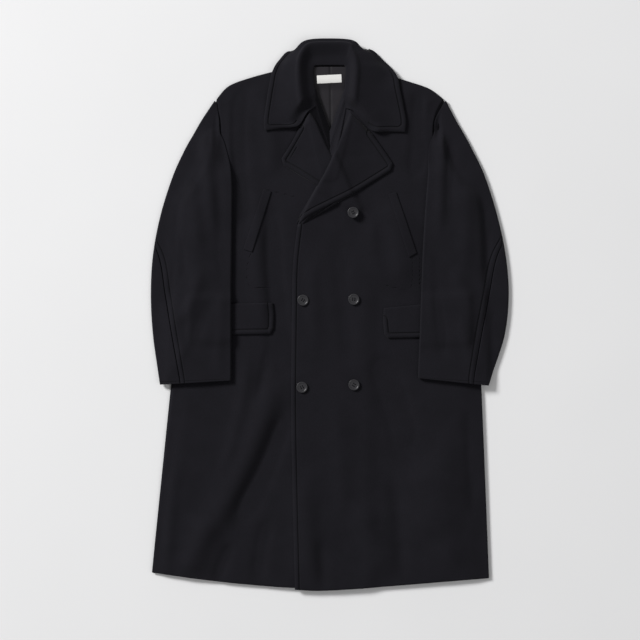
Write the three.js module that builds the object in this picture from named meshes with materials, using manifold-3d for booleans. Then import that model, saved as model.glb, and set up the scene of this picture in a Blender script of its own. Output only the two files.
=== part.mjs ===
// Double-breasted wool coat, laid on its back on a flat surface, as a three.js scene graph.
// Millimetres, +X towards the wearer's left, +Y towards the collar, +Z up from the surface.
import * as THREE from 'three';
import { mergeVertices } from 'three/addons/utils/BufferGeometryUtils.js';
import Module from 'manifold-3d';

const wasm = await Module();
wasm.setup();

// Driving dimensions.
const SEAM = 0.3;
const WALL = { back: 3, lining: 1, label: 0.6, front: 3, lapel: 4, welt: 2.6, flap: 2.8, sleeve: 3 };
const COLLAR_WALL = 4.2;
const COLLAR_FORM = { spans: 11, crown: 2.5, fall: 4, leastFall: 0.15, standBow: 2, reach: 12, slope: 30 };
const LOFT = 3;
const LOFT_SIDE = 38;
const ROLL_RISE = 7;
const NECK_FLAT = { low: 400, high: 450, inner: 60, outer: 140, share: 0.85 };
const ROLL_WIDTH = 50;
const NECK_CLEARANCE = 1.2;
const SLEEVE_CLEARANCE = 1.8;
const SLEEVE_HOLLOW = 3.4;
const FOLD_HOLLOW = 1.6;
const BUTTON = { radius: 11.5, thick: 3.6, rim: 2.4, dish: 0.9, seat: 0.6, sides: 20, sat: 0.9 };
const BUTTON_EDGE = table('radius height', [0.86, 0], [1, 0.4], [0.96, 0.85], [0.88, 1]);
const LATTICE = { x: 24, yBelow: 48, yAbove: 24, chest: 190, half: 456, hem: -626, top: 622 };
const PRISM_DEPTH = 200;
const LEVEL = 1e-6;

// A table is a line of column names and a row of numbers for each point, section or fold.
function table(columns, ...rows) {
  const names = columns.split(' ');
  return rows.map((row) => Object.fromEntries(names.map((name, i) => [name, row[i]])));
}

// Edges of the panels, from the hem upwards on each side. Right is the wearer's right.
const SIDE = {
  right: table('x y', [-373, -540], [-364, -450], [-353, -360], [-329, -153], [-316, -10], [-304, 136],
    [-294, 222]),
  left: table('x y', [334, -552], [330, -450], [326, -346], [318, -153], [309, 32], [301, 178], [294, 234]),
};
const ARMHOLE = {
  right: table('x y', [-294, 222], [-266, 262], [-246, 298], [-235, 337], [-229.5, 369], [-228.5, 393],
    [-231, 421], [-237, 453]),
  left: table('x y', [294, 234], [262, 263], [240, 297], [225, 334], [217, 370], [216.5, 398],
    [223.5, 427], [238, 453]),
};
const SHOULDER = {
  right: table('x y', [-237, 453], [-212, 480], [-165, 498], [-94, 516.5], [-48, 526]),
  left: table('x y', [238, 453], [210, 474], [168, 489], [106, 507], [48, 526]),
};
const HEM = {
  back: table('x y', [-373, -540], [-272, -552], [-146, -562], [0, -572], [147, -564], [274, -554],
    [334, -552]),
  right: table('x y', [-373, -540], [-272, -554], [-190, -563.5], [-77, -572], [70, -574]),
  left: table('x y', [-73, -575.5], [-20, -578], [63, -573.5], [147, -567], [274, -556.5], [334, -552]),
};
const BACK_NECK = table('x y', [-48, 526], [-28, 521.5], [0, 520.6], [28, 521.5], [48, 526]);
// The neckline and the roll line of each front, down to where the front edge starts.
const NECKLINE = {
  right: table('x y', [-48, 526], [-42, 490], [-40, 452], [-42, 424]),
  left: table('x y', [48, 526], [42, 490], [41, 452], [43, 424]),
};
const ROLL = {
  right: table('x y', [-42, 424], [-27, 401], [-8, 357], [7, 330], [21, 300], [43, 250], [60, 222]),
  left: table('x y', [43, 424], [32, 393], [21, 367], [-4, 309], [-39, 246], [-55, 214], [-68, 187]),
};
const FRONT_EDGE = {
  right: table('x y', [60, 222], [69, 160], [70, 30], [70, -574]),
  left: table('x y', [-68, 187], [-77, 105], [-79, 10], [-81, -178], [-78.5, -346], [-73, -575.5]),
};
// The outer edge of each lapel: notch, point and the run back down to the front edge.
const LAPEL_EDGE = {
  right: table('x y', [-64, 391], [-83, 358], [-101, 328]),
  left: table('x y', [88, 380], [111, 348], [132, 317]),
};
const LAPEL_FOOT = {
  right: table('x y', [-97, 313], [-66, 296], [-35, 276], [11, 248], [60, 222]),
  left: table('x y', [128, 303], [93, 281], [47, 253], [0, 230], [-43, 208], [-68, 187]),
};
const POCKETS = {
  chest_welt_right: table('x y', [-138.5, 264], [-181, 137.5], [-162.5, 131.5], [-122.5, 258.5]),
  chest_welt_left: table('x y', [139, 258], [182, 129.5], [165.5, 120.5], [122.5, 253]),
  flap_right: table('x y', [-281, 23], [-119.5, 25.5], [-117, 0], [-118, -28], [-124.5, -40], [-281, -42]),
  flap_left: table('x y', [113, 14.5], [278, 30.5], [281, -45], [122, -48.5], [114, -40], [111.5, -12]),
};
const LINING = table('x y', [-40, 519.5], [40, 519.5], [40, 405], [22, 330], [10, 285], [-12, 285],
  [-24, 330], [-40, 405]);
const LABEL = { x: -1, y: 494.5, width: 51.5, height: 17, tilt: 0.05 };
const BUTTONS = table('x y', [48.8, 214.2], [-56.2, 31], [50.1, 32.8], [-58.3, -151.2], [50.5, -146.2]);

// The largest folds of the fronts: a ridge (rise over 0) or trough along a line, and its width.
const FOLDS = table('x1 y1 x2 y2 width rise',
  [-112, -140, -262, -470, 30, 5],
  [-92, -190, -205, -440, 24, -3.5],
  [-128, 225, -90, -110, 26, -3],
  [104, -95, 160, -285, 26, -3.5],
  [190, -310, 215, -470, 34, 3],
  [60, -400, 112, -548, 30, 2.5],
  [-55, -330, -40, -560, 26, 2.5],
  [-250, -420, -300, -548, 26, 3],
  [240, -250, 262, -545, 36, 3],
  [150, 60, 120, 240, 34, 3]);

// The collar, section by section from the wearer's right point round the neck to the left point:
// its neck seam (n), roll (r), middle (m) and outer edge (o), and the height of the roll.
const COLLAR = table('nx ny nz rx ry rz mx my ox oy under',
  [-27, 439, 12, -46, 425, 24, -65.5, 396, -136, 386, 0],
  [-28, 452, 12, -57, 437, 26, -94, 413, -138, 405, 0],
  [-30, 468, 12, -62, 462, 27, -97, 449, -133, 443, 0],
  [-32, 485, 12, -65, 487, 27, -95, 483, -127, 481, 0],
  [-34, 501, 12, -66, 512, 26, -93, 513, -121, 509, 0],
  [-34, 514, 12, -64, 535, 24, -86, 533, -108, 532, 0.1],
  [-31, 525, 12, -56, 554, 21, -72, 553, -84, 552, 0.5],
  [-22, 527, 12, -40, 567, 18, -50, 573, -62, 508, 1],
  [0, 527, 12, 0, 569, 17, 0, 577, 0, 500, 1],
  [22, 527, 12, 38, 567, 18, 48, 573, 60, 508, 1],
  [31, 525, 12, 47, 554, 21, 66, 556, 82, 556, 0.5],
  [34, 512, 12, 53, 535, 24, 88, 538, 114, 533, 0.1],
  [33, 497, 12, 55, 512, 26, 101, 510, 140, 503, 0],
  [32, 481, 12, 53, 487, 27, 100, 477, 147, 473, 0],
  [29, 464, 12, 51, 462, 27, 99, 446, 154, 440, 0],
  [27, 450, 12, 49, 443, 26, 97, 415, 160, 406, 0],
  [24, 438, 12, 47, 428, 24, 90, 385, 158, 383, 0]);

// Each sleeve, section by section from shoulder to cuff: its outer (o) and inner (i) edge, how far
// round the top the back seam lies, and how far the inner edge has become a fold over the front.
const SLEEVE = {
  right: table('ox oy ix iy seam fold',
    [-242, 449, -237.5, 446, -0.1, 0],
    [-268, 410, -232, 410, -0.1, 0],
    [-287, 377, -230, 384, -0.12, 0.1],
    [-304, 347, -219, 357, -0.12, 0.8],
    [-329, 292, -205, 292, -0.12, 1],
    [-355, 210, -204, 210, -0.05, 1],
    [-371, 126, -205, 126, 0.08, 1],
    [-375.5, 42, -206, 42, 0.13, 1],
    [-371, -42, -206, -42, 0.2, 1],
    [-360, -120, -206, -118, 0.27, 1],
    [-356, -146, -206.5, -137, 0.28, 1]),
  left: table('ox oy ix iy seam fold',
    [244, 449, 239.5, 446, -0.1, 0],
    [264, 410, 221, 410, -0.1, 0],
    [283, 377, 218.5, 384, -0.12, 0.1],
    [299, 347, 207.5, 352, -0.12, 0.8],
    [325, 292, 205, 292, -0.12, 1],
    [351, 210, 199, 210, -0.08, 1],
    [369, 126, 194, 126, 0.06, 1],
    [375.5, 42, 191, 42, 0.13, 1],
    [367, -42, 188, -42, 0.2, 1],
    [342, -120, 185, -118, 0.25, 1],
    [333, -148, 185, -132, 0.26, 1]),
};
const SLEEVE_LIFT = { low: 372, high: 396, reach: 9, slope: 2 };
const SLEEVE_RINGS = 17;
const RING_POINTS = 13;
const ARC_SHARE = 0.13;
const FRONT_SEAM = 0.98;
const SEAM_TURN = { share: 1.6, least: 0.012 };
const LEAST_FOLD = 0.02;
const SWELL = { power: 0.7, narrow: 30, wide: 90 };

// Surfaces.
const CLOTH = { color: 0x1b1b1f, roughness: 0.92, metalness: 0 };
const SATIN = { color: 0x34303a, roughness: 0.45, metalness: 0 };
const TAPE = { color: 0xe9e7e3, roughness: 0.7, metalness: 0 };
const HORN = { color: 0x2b2b30, roughness: 0.35, metalness: 0 };

function smoothstep(low, high, value) {
  return THREE.MathUtils.smoothstep(value, low, high);
}

function vector(row) {
  return new THREE.Vector2(row.x, row.y);
}

// A smooth edge through the rows of a table; two rows give a straight edge.
function edge(rows, reversed = false) {
  const points = rows.map(vector);
  const drawn = points.length > 2 ? new THREE.SplineCurve(points).getPoints(points.length * 3) : points;
  return reversed ? drawn.reverse() : drawn;
}

// A closed outline from edges that follow each other, without doubled corners.
function outline(...edges) {
  const points = [];
  for (const point of edges.flat()) {
    const last = points[points.length - 1];
    if (!last || last.distanceTo(point) > 0.5) points.push(point);
  }
  if (points[0].distanceTo(points[points.length - 1]) < 0.5) points.pop();
  return points;
}

function polygon(rows) {
  return rows.map(vector);
}

// Distance from a point to an outline, negative inside it.
function distance(points, x, y) {
  let nearest = Infinity;
  let inside = false;
  for (let i = 0, j = points.length - 1; i < points.length; j = i, i += 1) {
    const a = points[j];
    const b = points[i];
    nearest = Math.min(nearest, distanceToLine(a.x, a.y, b.x, b.y, x, y));
    if ((a.y > y) !== (b.y > y) && x < ((b.x - a.x) * (y - a.y)) / (b.y - a.y) + a.x) inside = !inside;
  }
  return inside ? -nearest : nearest;
}

function distanceToLine(x1, y1, x2, y2, x, y) {
  const dx = x2 - x1;
  const dy = y2 - y1;
  const along = THREE.MathUtils.clamp(((x - x1) * dx + (y - y1) * dy) / (dx * dx + dy * dy), 0, 1);
  return Math.hypot(x - x1 - along * dx, y - y1 - along * dy);
}

const FRONT = {
  right: outline(edge(SIDE.right), edge(ARMHOLE.right), edge(SHOULDER.right), edge(NECKLINE.right),
    edge(ROLL.right), edge(FRONT_EDGE.right), edge(HEM.right, true)),
  left: outline(edge(HEM.left), edge(SIDE.left), edge(ARMHOLE.left), edge(SHOULDER.left),
    edge(NECKLINE.left), edge(ROLL.left), edge(FRONT_EDGE.left)),
};
const LAPEL = {
  right: outline(edge(ROLL.right), edge(LAPEL_FOOT.right, true), edge(LAPEL_EDGE.right, true)),
  left: outline(edge(ROLL.left), edge(LAPEL_FOOT.left, true), edge(LAPEL_EDGE.left, true)),
};
const BACK = outline(edge(SIDE.right), edge(ARMHOLE.right), edge(SHOULDER.right), edge(BACK_NECK),
  edge(SHOULDER.left, true), edge(ARMHOLE.left, true), edge(SIDE.left, true), edge(HEM.back, true));
const COLLAR_FALL = polygon(table('x y', [-76, 560], [76, 560], [70, 497], [-70, 497]));

// The one lattice of plan points that every panel shares, so that stacked panels stay apart.
function latticeLines() {
  const xs = [];
  for (let x = -LATTICE.half; x <= LATTICE.half; x += LATTICE.x) xs.push(x);
  const ys = [];
  for (let y = LATTICE.hem; y < LATTICE.chest; y += LATTICE.yBelow) ys.push(y);
  for (let y = LATTICE.chest; y <= LATTICE.top; y += LATTICE.yAbove) ys.push(y);
  return { xs, ys };
}

const LINES = latticeLines();

// How much a layer lifts what lies above it: fully on it and a cell beyond, then less and less.
function cover(points, x, y) {
  const cell = Math.hypot(LATTICE.x, y < LATTICE.chest ? LATTICE.yBelow : LATTICE.yAbove);
  return 1 - smoothstep(cell, cell + LATTICE.x, distance(points, x, y));
}

// The rise of the fronts over the back: their loft, the lift along the roll lines, and the folds.
function rise(x, y) {
  const silhouette = Math.min(...[SIDE, ARMHOLE, SHOULDER].flatMap((part) => [part.right, part.left])
    .map((rows) => distanceToEdge(rows, x, y)));
  const share = smoothstep(0, LOFT_SIDE, silhouette);
  const roll = Math.min(distanceToEdge(ROLL.right, x, y), distanceToEdge(ROLL.left, x, y));
  const rollLift = ROLL_RISE * Math.exp(-((roll / ROLL_WIDTH) ** 2)) * smoothstep(170, 330, y);
  const atNeck = smoothstep(NECK_FLAT.low, NECK_FLAT.high, y)
    * (1 - smoothstep(NECK_FLAT.inner, NECK_FLAT.outer, Math.abs(x)));
  const folds = FOLDS.reduce((sum, fold) => sum + foldHeight(fold, x, y), 0);
  return Math.max(0, share * (LOFT + rollLift + folds) * (1 - NECK_FLAT.share * atNeck));
}

function distanceToEdge(rows, x, y) {
  let nearest = Infinity;
  for (let i = 1; i < rows.length; i += 1) {
    const d = distanceToLine(rows[i - 1].x, rows[i - 1].y, rows[i].x, rows[i].y, x, y);
    nearest = Math.min(nearest, d);
  }
  return nearest;
}

// A fold swells to the middle of its line and dies away at both ends.
function foldHeight({ x1, y1, x2, y2, width, rise: height }, x, y) {
  const dx = x2 - x1;
  const dy = y2 - y1;
  const along = ((x - x1) * dx + (y - y1) * dy) / (dx * dx + dy * dy);
  const across = Math.abs((x - x1) * dy - (y - y1) * dx) / Math.hypot(dx, dy);
  const fade = smoothstep(-0.12, 0.25, along) * (1 - smoothstep(0.75, 1.12, along));
  return height * fade * Math.exp(-((across / width) ** 2));
}

// The pile of cloth: each layer's outline and wall, from the surface up. Front layers are lofted.
const LAYERS = [
  { name: 'collar_fall', points: COLLAR_FALL, wall: COLLAR_WALL },
  { name: 'back', points: BACK, wall: WALL.back },
  { name: 'lining', points: polygon(LINING), wall: WALL.lining },
  { name: 'label', points: labelOutline(), wall: WALL.label },
  { name: 'front_right', points: FRONT.right, wall: WALL.front, lofted: true },
  { name: 'lapel_right', points: LAPEL.right, wall: WALL.lapel, lofted: true },
  { name: 'front_left', points: FRONT.left, wall: WALL.front, lofted: true },
  { name: 'lapel_left', points: LAPEL.left, wall: WALL.lapel, lofted: true },
  { name: 'chest_welt_right', points: polygon(POCKETS.chest_welt_right), wall: WALL.welt, lofted: true },
  { name: 'chest_welt_left', points: polygon(POCKETS.chest_welt_left), wall: WALL.welt, lofted: true },
  { name: 'flap_right', points: polygon(POCKETS.flap_right), wall: WALL.flap, lofted: true },
  { name: 'flap_left', points: polygon(POCKETS.flap_left), wall: WALL.flap, lofted: true },
];

function labelOutline() {
  const corners = [[-1, -1], [1, -1], [1, 1], [-1, 1]];
  return corners.map(([i, j]) => new THREE.Vector2(i * LABEL.width / 2, j * LABEL.height / 2)
    .rotateAround(new THREE.Vector2(), LABEL.tilt).add(new THREE.Vector2(LABEL.x, LABEL.y)));
}

// Heights of the underside of every layer at every lattice point, and of the top of the pile.
function pileHeights() {
  const undersides = LAYERS.map(() => []);
  const top = [];
  LINES.xs.forEach((x, i) => {
    undersides.forEach((grid) => grid.push([]));
    top.push([]);
    LINES.ys.forEach((y, j) => {
      const loft = rise(x, y);
      let height = 0;
      LAYERS.forEach((layer, k) => {
        undersides[k][i][j] = height + (layer.lofted ? loft : 0);
        height += (layer.wall + SEAM) * cover(layer.points, x, y);
      });
      top[i][j] = height + loft * cover(BACK, x, y);
    });
  });
  return { undersides, top };
}

const PILE = pileHeights();

// The height of a faceted lattice surface at any plan point.
function heightAt(grid, x, y) {
  const i = THREE.MathUtils.clamp(LINES.xs.findLastIndex((line) => line <= x), 0, LINES.xs.length - 2);
  const j = THREE.MathUtils.clamp(LINES.ys.findLastIndex((line) => line <= y), 0, LINES.ys.length - 2);
  const u = (x - LINES.xs[i]) / (LINES.xs[i + 1] - LINES.xs[i]);
  const v = (y - LINES.ys[j]) / (LINES.ys[j + 1] - LINES.ys[j]);
  const [a, b, c, d] = [grid[i][j], grid[i + 1][j], grid[i + 1][j + 1], grid[i][j + 1]];
  return u > v ? a + u * (b - a) + v * (c - b) : a + v * (d - a) + u * (c - d);
}

// A closed body from rows of points: each row is one section, both surfaces in one loop.
function loft(sections) {
  const count = sections[0].length;
  const positions = sections.flat().flatMap((point) => [point.x, point.y, point.z]);
  const indices = [];
  for (let s = 0; s < sections.length - 1; s += 1) {
    for (let p = 0; p < count; p += 1) {
      const next = (p + 1) % count;
      const [a, b, c, d] = [s * count + p, s * count + next, (s + 1) * count + next, (s + 1) * count + p];
      indices.push(a, b, c, a, c, d);
    }
  }
  const half = count / 2;
  const last = (sections.length - 1) * count;
  for (let p = 0; p < half - 1; p += 1) {
    const [a, b, c, d] = [p, p + 1, count - 2 - p, count - 1 - p];
    indices.push(a, c, b, a, d, c);
    indices.push(last + a, last + b, last + c, last + a, last + c, last + d);
  }
  const geometry = new THREE.BufferGeometry();
  geometry.setAttribute('position', new THREE.Float32BufferAttribute(positions, 3));
  geometry.setIndex(indices);
  return facingOut(geometry);
}

// A body joined from one convex block for each cell of its wall, so that a tight fold never crosses
// itself. Each row of walls has an inside and an outside point at each place.
function blocks(rows) {
  const cells = rows.slice(1).flatMap((row, s) => row.slice(1).map((wall, p) => {
    const corners = [rows[s][p], rows[s][p + 1], row[p], wall].flat();
    return wasm.Manifold.hull(corners.map((corner) => corner.toArray()));
  }));
  return toGeometry(wasm.Manifold.union(cells));
}

function signedVolume(geometry) {
  const position = geometry.getAttribute('position');
  const corners = [new THREE.Vector3(), new THREE.Vector3(), new THREE.Vector3()];
  let volume = 0;
  for (let t = 0; t < geometry.index.count; t += 3) {
    corners.forEach((corner, k) => corner.fromBufferAttribute(position, geometry.index.getX(t + k)));
    volume += corners[0].dot(corners[1].clone().cross(corners[2])) / 6;
  }
  return volume;
}

function facingOut(geometry) {
  if (signedVolume(geometry) < 0) geometry.setIndex(Array.from(geometry.index.array).reverse());
  return geometry;
}

// The lattice lines that a surface needs: its first and last, and those across which it bends.
function bendingLines(first, last, heightOf, crossFirst, crossLast) {
  const kept = [first];
  for (let line = first + 1; line < last; line += 1) {
    let bends = false;
    for (let cross = crossFirst; cross <= crossLast && !bends; cross += 1) {
      const [before, here, after] = [line - 1, line, line + 1].map((l) => heightOf(l, cross));
      bends = Math.max(Math.abs(here - before), Math.abs(after - here)) > LEVEL;
    }
    if (bends) kept.push(line);
  }
  return [...kept, last];
}

// The slab of cloth between two lattice surfaces, over the cells that an outline touches.
function slab(underside, wall, points) {
  const box = new THREE.Box2().setFromPoints(points).expandByScalar(1);
  const from = (lines, low) => Math.max(0, lines.findLastIndex((line) => line < low));
  const to = (lines, high) => lines.findIndex((line) => line > high);
  const [i0, i1] = [from(LINES.xs, box.min.x), to(LINES.xs, box.max.x)];
  const [j0, j1] = [from(LINES.ys, box.min.y), to(LINES.ys, box.max.y)];
  const columns = bendingLines(i0, i1, (i, j) => underside[i][j], j0, j1);
  const rows = bendingLines(j0, j1, (j, i) => underside[i][j], i0, i1);
  const positions = [];
  for (const lift of [0, wall]) {
    for (const i of columns) {
      for (const j of rows) positions.push(LINES.xs[i], LINES.ys[j], underside[i][j] + lift);
    }
  }
  const level = columns.length * rows.length;
  const at = (i, j, upper) => upper * level + i * rows.length + j;
  const indices = [];
  const [iLast, jLast] = [columns.length - 1, rows.length - 1];
  for (let i = 0; i < iLast; i += 1) {
    for (let j = 0; j < jLast; j += 1) {
      const [a, b, c, d] = [at(i, j, 1), at(i + 1, j, 1), at(i + 1, j + 1, 1), at(i, j + 1, 1)];
      indices.push(a, b, c, a, c, d);
      indices.push(a - level, c - level, b - level);
      indices.push(a - level, d - level, c - level);
    }
  }
  const wallBetween = (a, b) => indices.push(a, b, b + level, a, b + level, a + level);
  for (let i = 0; i < iLast; i += 1) {
    wallBetween(at(i, 0, 0), at(i + 1, 0, 0));
    wallBetween(at(i + 1, jLast, 0), at(i, jLast, 0));
  }
  for (let j = 0; j < jLast; j += 1) {
    wallBetween(at(iLast, j, 0), at(iLast, j + 1, 0));
    wallBetween(at(0, j + 1, 0), at(0, j, 0));
  }
  const geometry = new THREE.BufferGeometry();
  geometry.setAttribute('position', new THREE.Float32BufferAttribute(positions, 3));
  geometry.setIndex(indices);
  return geometry;
}

function prism(points) {
  const settings = { depth: PRISM_DEPTH, bevelEnabled: false };
  const geometry = new THREE.ExtrudeGeometry(new THREE.Shape(points), settings);
  return geometry.translate(0, 0, -PRISM_DEPTH / 2);
}

function toManifold(geometry) {
  const bare = geometry.clone();
  bare.deleteAttribute('normal');
  bare.deleteAttribute('uv');
  const merged = mergeVertices(bare, 1e-4);
  return new wasm.Manifold(new wasm.Mesh({
    numProp: 3,
    vertProperties: new Float32Array(merged.getAttribute('position').array),
    triVerts: new Uint32Array(merged.index.array),
  }));
}

function toGeometry(solid) {
  const mesh = solid.getMesh();
  const geometry = new THREE.BufferGeometry();
  geometry.setAttribute('position', new THREE.Float32BufferAttribute(mesh.vertProperties, 3));
  geometry.setIndex(Array.from(mesh.triVerts));
  return geometry;
}

// A flat-cut piece: its slab of the pile, trimmed to its outline.
function panel(name) {
  const index = LAYERS.findIndex((layer) => layer.name === name);
  const { points, wall } = LAYERS[index];
  const body = toManifold(slab(PILE.undersides[index], wall, points));
  return toGeometry(body.intersect(toManifold(prism(points))));
}

// A value between the rows of a table, on a smooth curve through one column.
function between(rows, column, share) {
  const place = share * (rows.length - 1);
  const i = Math.min(Math.floor(place), rows.length - 2);
  const t = place - i;
  const [a, b, c, d] = [i - 1, i, i + 1, i + 2]
    .map((k) => rows[THREE.MathUtils.clamp(k, 0, rows.length - 1)][column]);
  const [m0, m1] = [(c - a) / 2, (d - b) / 2];
  return (2 * b - 2 * c + m0 + m1) * t ** 3 + (3 * c - 3 * b - 2 * m0 - m1) * t ** 2 + m0 * t + b;
}

// The highest of a surface at a plan point and at four points round it.
function highestAround(grid, x, y, reach) {
  const steps = [[0, 0], [reach, 0], [-reach, 0], [0, reach], [0, -reach]];
  return Math.max(...steps.map(([dx, dy]) => heightAt(grid, x + dx, y + dy)));
}

// What a sleeve lies on: the surface outside the coat's body, and the pile of panels on it.
function sleeveFloor(x, y) {
  const pile = highestAround(PILE.top, x, y, SLEEVE_LIFT.reach);
  const lifted = pile * (1 - smoothstep(SLEEVE_LIFT.low, SLEEVE_LIFT.high, y));
  return lifted + SLEEVE_CLEARANCE * smoothstep(0, SLEEVE_LIFT.slope, lifted);
}

// One point round a sleeve section: turn 0 is the outer edge, 1 the inner edge, 2 the outer again.
// Returns the inside and the outside of the wall there.
function sleevePoint(section, turn) {
  const { ox, oy, ix, iy, fold } = section;
  const width = Math.hypot(ix - ox, iy - oy);
  const upper = turn < 1 || turn >= 2;
  const round = upper ? THREE.MathUtils.euclideanModulo(turn + 0.5, 2) - 0.5 : 2 - turn;
  const arc = WALL.sleeve + FOLD_HOLLOW / 2;
  const arcs = {
    outer: Math.min(arc, width / 3),
    inner: Math.min(arc * Math.max(LEAST_FOLD, fold), width / 3),
  };
  const place = (distanceIn) => ({
    x: ox + ((ix - ox) * distanceIn) / width,
    y: oy + ((iy - oy) * distanceIn) / width,
  });
  const middle = (distanceIn) => {
    const share = THREE.MathUtils.clamp(distanceIn / width, 0, 1);
    const edges = THREE.MathUtils.lerp(FOLD_HOLLOW, THREE.MathUtils.lerp(SEAM, FOLD_HOLLOW, fold), share);
    const swell = Math.sin(Math.PI * share) ** SWELL.power * smoothstep(SWELL.narrow, SWELL.wide, width);
    const hollow = edges + (SLEEVE_HOLLOW - FOLD_HOLLOW) * swell;
    const plan = place(distanceIn);
    return { ...plan, hollow, z: sleeveFloor(plan.x, plan.y) + WALL.sleeve + hollow / 2 };
  };
  const side = upper ? 1 : -1;
  const flatPoint = (distanceIn) => {
    const core = middle(distanceIn);
    const inside = core.z + (side * core.hollow) / 2;
    return [inside, inside + side * WALL.sleeve].map((z) => new THREE.Vector3(core.x, core.y, z));
  };
  const arcPoint = (angle, centre, radius, direction) => {
    const core = middle(centre);
    const reach = (r, scale) => {
      const out = centre + direction * r * scale * Math.cos(angle);
      return new THREE.Vector3(place(out).x, place(out).y, core.z + side * r * Math.sin(angle));
    };
    const outer = WALL.sleeve + core.hollow / 2;
    return [reach(core.hollow / 2, radius / outer), reach(outer, radius / outer)];
  };
  if (round < ARC_SHARE) {
    return arcPoint((Math.max(round, 0) / ARC_SHARE) * (Math.PI / 2), arcs.outer, arcs.outer, -1);
  }
  if (round > 1 - ARC_SHARE) {
    return arcPoint(((1 - round) / ARC_SHARE) * (Math.PI / 2), width - arcs.inner, arcs.inner, 1);
  }
  const share = (round - ARC_SHARE) / (1 - 2 * ARC_SHARE);
  return flatPoint(THREE.MathUtils.lerp(arcs.outer, width - arcs.inner, share));
}

// Part of a sleeve between two turns, which change from section to section.
function sleevePiece(rows, startOf, endOf) {
  const sections = [];
  for (let s = 0; s < SLEEVE_RINGS; s += 1) {
    const share = s / (SLEEVE_RINGS - 1);
    const section = Object.fromEntries(Object.keys(rows[0]).map((key) => [key, between(rows, key, share)]));
    section.fold = THREE.MathUtils.clamp(section.fold, 0, 1);
    const [start, end] = [startOf(section), endOf(section)];
    const walls = [];
    for (let p = 0; p < RING_POINTS; p += 1) {
      walls.push(sleevePoint(section, THREE.MathUtils.lerp(start, end, p / (RING_POINTS - 1))));
    }
    sections.push([...walls.map((wall) => wall[1]), ...walls.map((wall) => wall[0]).reverse()]);
  }
  return loft(sections);
}

// The front seam runs down the inner fold, and at the armhole along the edge of the top.
function frontSeam(section) {
  return THREE.MathUtils.lerp(1 - ARC_SHARE, FRONT_SEAM, section.fold);
}

function topSleeve(rows) {
  return sleevePiece(rows, (section) => section.seam, frontSeam);
}

function underSleeve(rows) {
  const start = (section) => {
    const folded = FRONT_SEAM + seamTurn(section);
    return THREE.MathUtils.lerp(1 + ARC_SHARE, folded, section.fold);
  };
  return sleevePiece(rows, start, (section) => 2 + section.seam - seamTurn(section));
}

// The seam's gap as a part of a turn.
function seamTurn(section) {
  const width = Math.hypot(section.ix - section.ox, section.iy - section.oy);
  return (SEAM_TURN.share * SEAM) / width + SEAM_TURN.least;
}

// What the leaf of the collar lies on, over the fronts and lapels or flat on the surface.
function collarFloor(x, y, under) {
  const pile = highestAround(PILE.top, x, y, COLLAR_FORM.reach);
  const edgeShare = 1 - smoothstep(0, COLLAR_FORM.slope, distance(BACK, x, y));
  return (1 - under) * (pile * edgeShare + NECK_CLEARANCE);
}

// The middle of the collar's wall at one section: up the stand, over the roll and down the leaf.
function collarSpine(row) {
  const half = COLLAR_WALL / 2;
  const rest = (x, y) => collarFloor(x, y, row.under) + half;
  const lowCrown = rest(row.mx, row.my) + COLLAR_FORM.crown;
  const fallen = Math.max(row.under, COLLAR_FORM.leastFall);
  const crown = THREE.MathUtils.lerp(lowCrown, row.rz - COLLAR_FORM.fall, fallen);
  const stand = new THREE.Vector3(row.nx + row.rx, row.ny + row.ry, row.nz + row.rz).divideScalar(2);
  stand.z += COLLAR_FORM.standBow;
  const leaf = { x: (row.mx + row.ox) / 2, y: (row.my + row.oy) / 2 };
  const spine = new THREE.CatmullRomCurve3([
    new THREE.Vector3(row.nx, row.ny, row.nz + half / 2),
    stand,
    new THREE.Vector3(row.rx, row.ry, row.rz),
    new THREE.Vector3(row.mx, row.my, crown),
    new THREE.Vector3(leaf.x, leaf.y, rest(leaf.x, leaf.y)),
    new THREE.Vector3(row.ox, row.oy, rest(row.ox, row.oy)),
  ], false, 'centripetal');
  return spine.getPoints(COLLAR_FORM.spans);
}

// The direction between a point's neighbours in a row of points.
function runAt(points, i) {
  const ahead = points[Math.min(i + 1, points.length - 1)];
  return ahead.clone().sub(points[Math.max(i - 1, 0)]);
}

function aboveSurface(point) {
  return point.setZ(Math.max(0, point.z));
}

// The collar's wall stands square on its middle surface, on both sides of it.
function collar() {
  const half = COLLAR_WALL / 2;
  const spines = COLLAR.map(collarSpine);
  return blocks(spines.map((spine, s) => spine.map((point, p) => {
    const along = runAt(spines.map((other) => other[p]), s);
    const normal = along.cross(runAt(spine, p)).normalize();
    return [-half, half].map((offset) => aboveSurface(point.clone().addScaledVector(normal, offset)));
  })));
}

// A four-hole button blank: flat back, rounded edge, raised rim and a shallow dish.
function button() {
  const { radius, thick, rim, dish } = BUTTON;
  const profile = [
    new THREE.Vector2(0, 0),
    ...BUTTON_EDGE.map((row) => new THREE.Vector2(row.radius * radius, row.height * thick)),
    new THREE.Vector2(radius - rim, thick - dish),
    new THREE.Vector2(0, thick - dish),
  ];
  return new THREE.LatheGeometry(profile, BUTTON.sides).rotateX(Math.PI / 2);
}

// Buttons sit on the upper front, clear of its highest point under them.
function buttonSeat(x, y) {
  const layer = LAYERS.findIndex(({ name }) => name === 'front_left');
  const reach = BUTTON.radius * BUTTON.sat;
  const corner = reach * Math.SQRT1_2;
  const around = [[0, 0], [corner, corner], [-corner, corner], [corner, -corner], [-corner, -corner]];
  const heights = around.map(([dx, dy]) => heightAt(PILE.undersides[layer], x + dx, y + dy));
  const highest = Math.max(...heights, highestAround(PILE.undersides[layer], x, y, reach));
  return highest + WALL.front + BUTTON.seat;
}

const coat = new THREE.Group();

function add(name, geometry, surface, place = [0, 0, 0]) {
  const mesh = new THREE.Mesh(geometry, new THREE.MeshStandardMaterial(surface));
  mesh.name = name;
  mesh.position.set(...place);
  coat.add(mesh);
}

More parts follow.
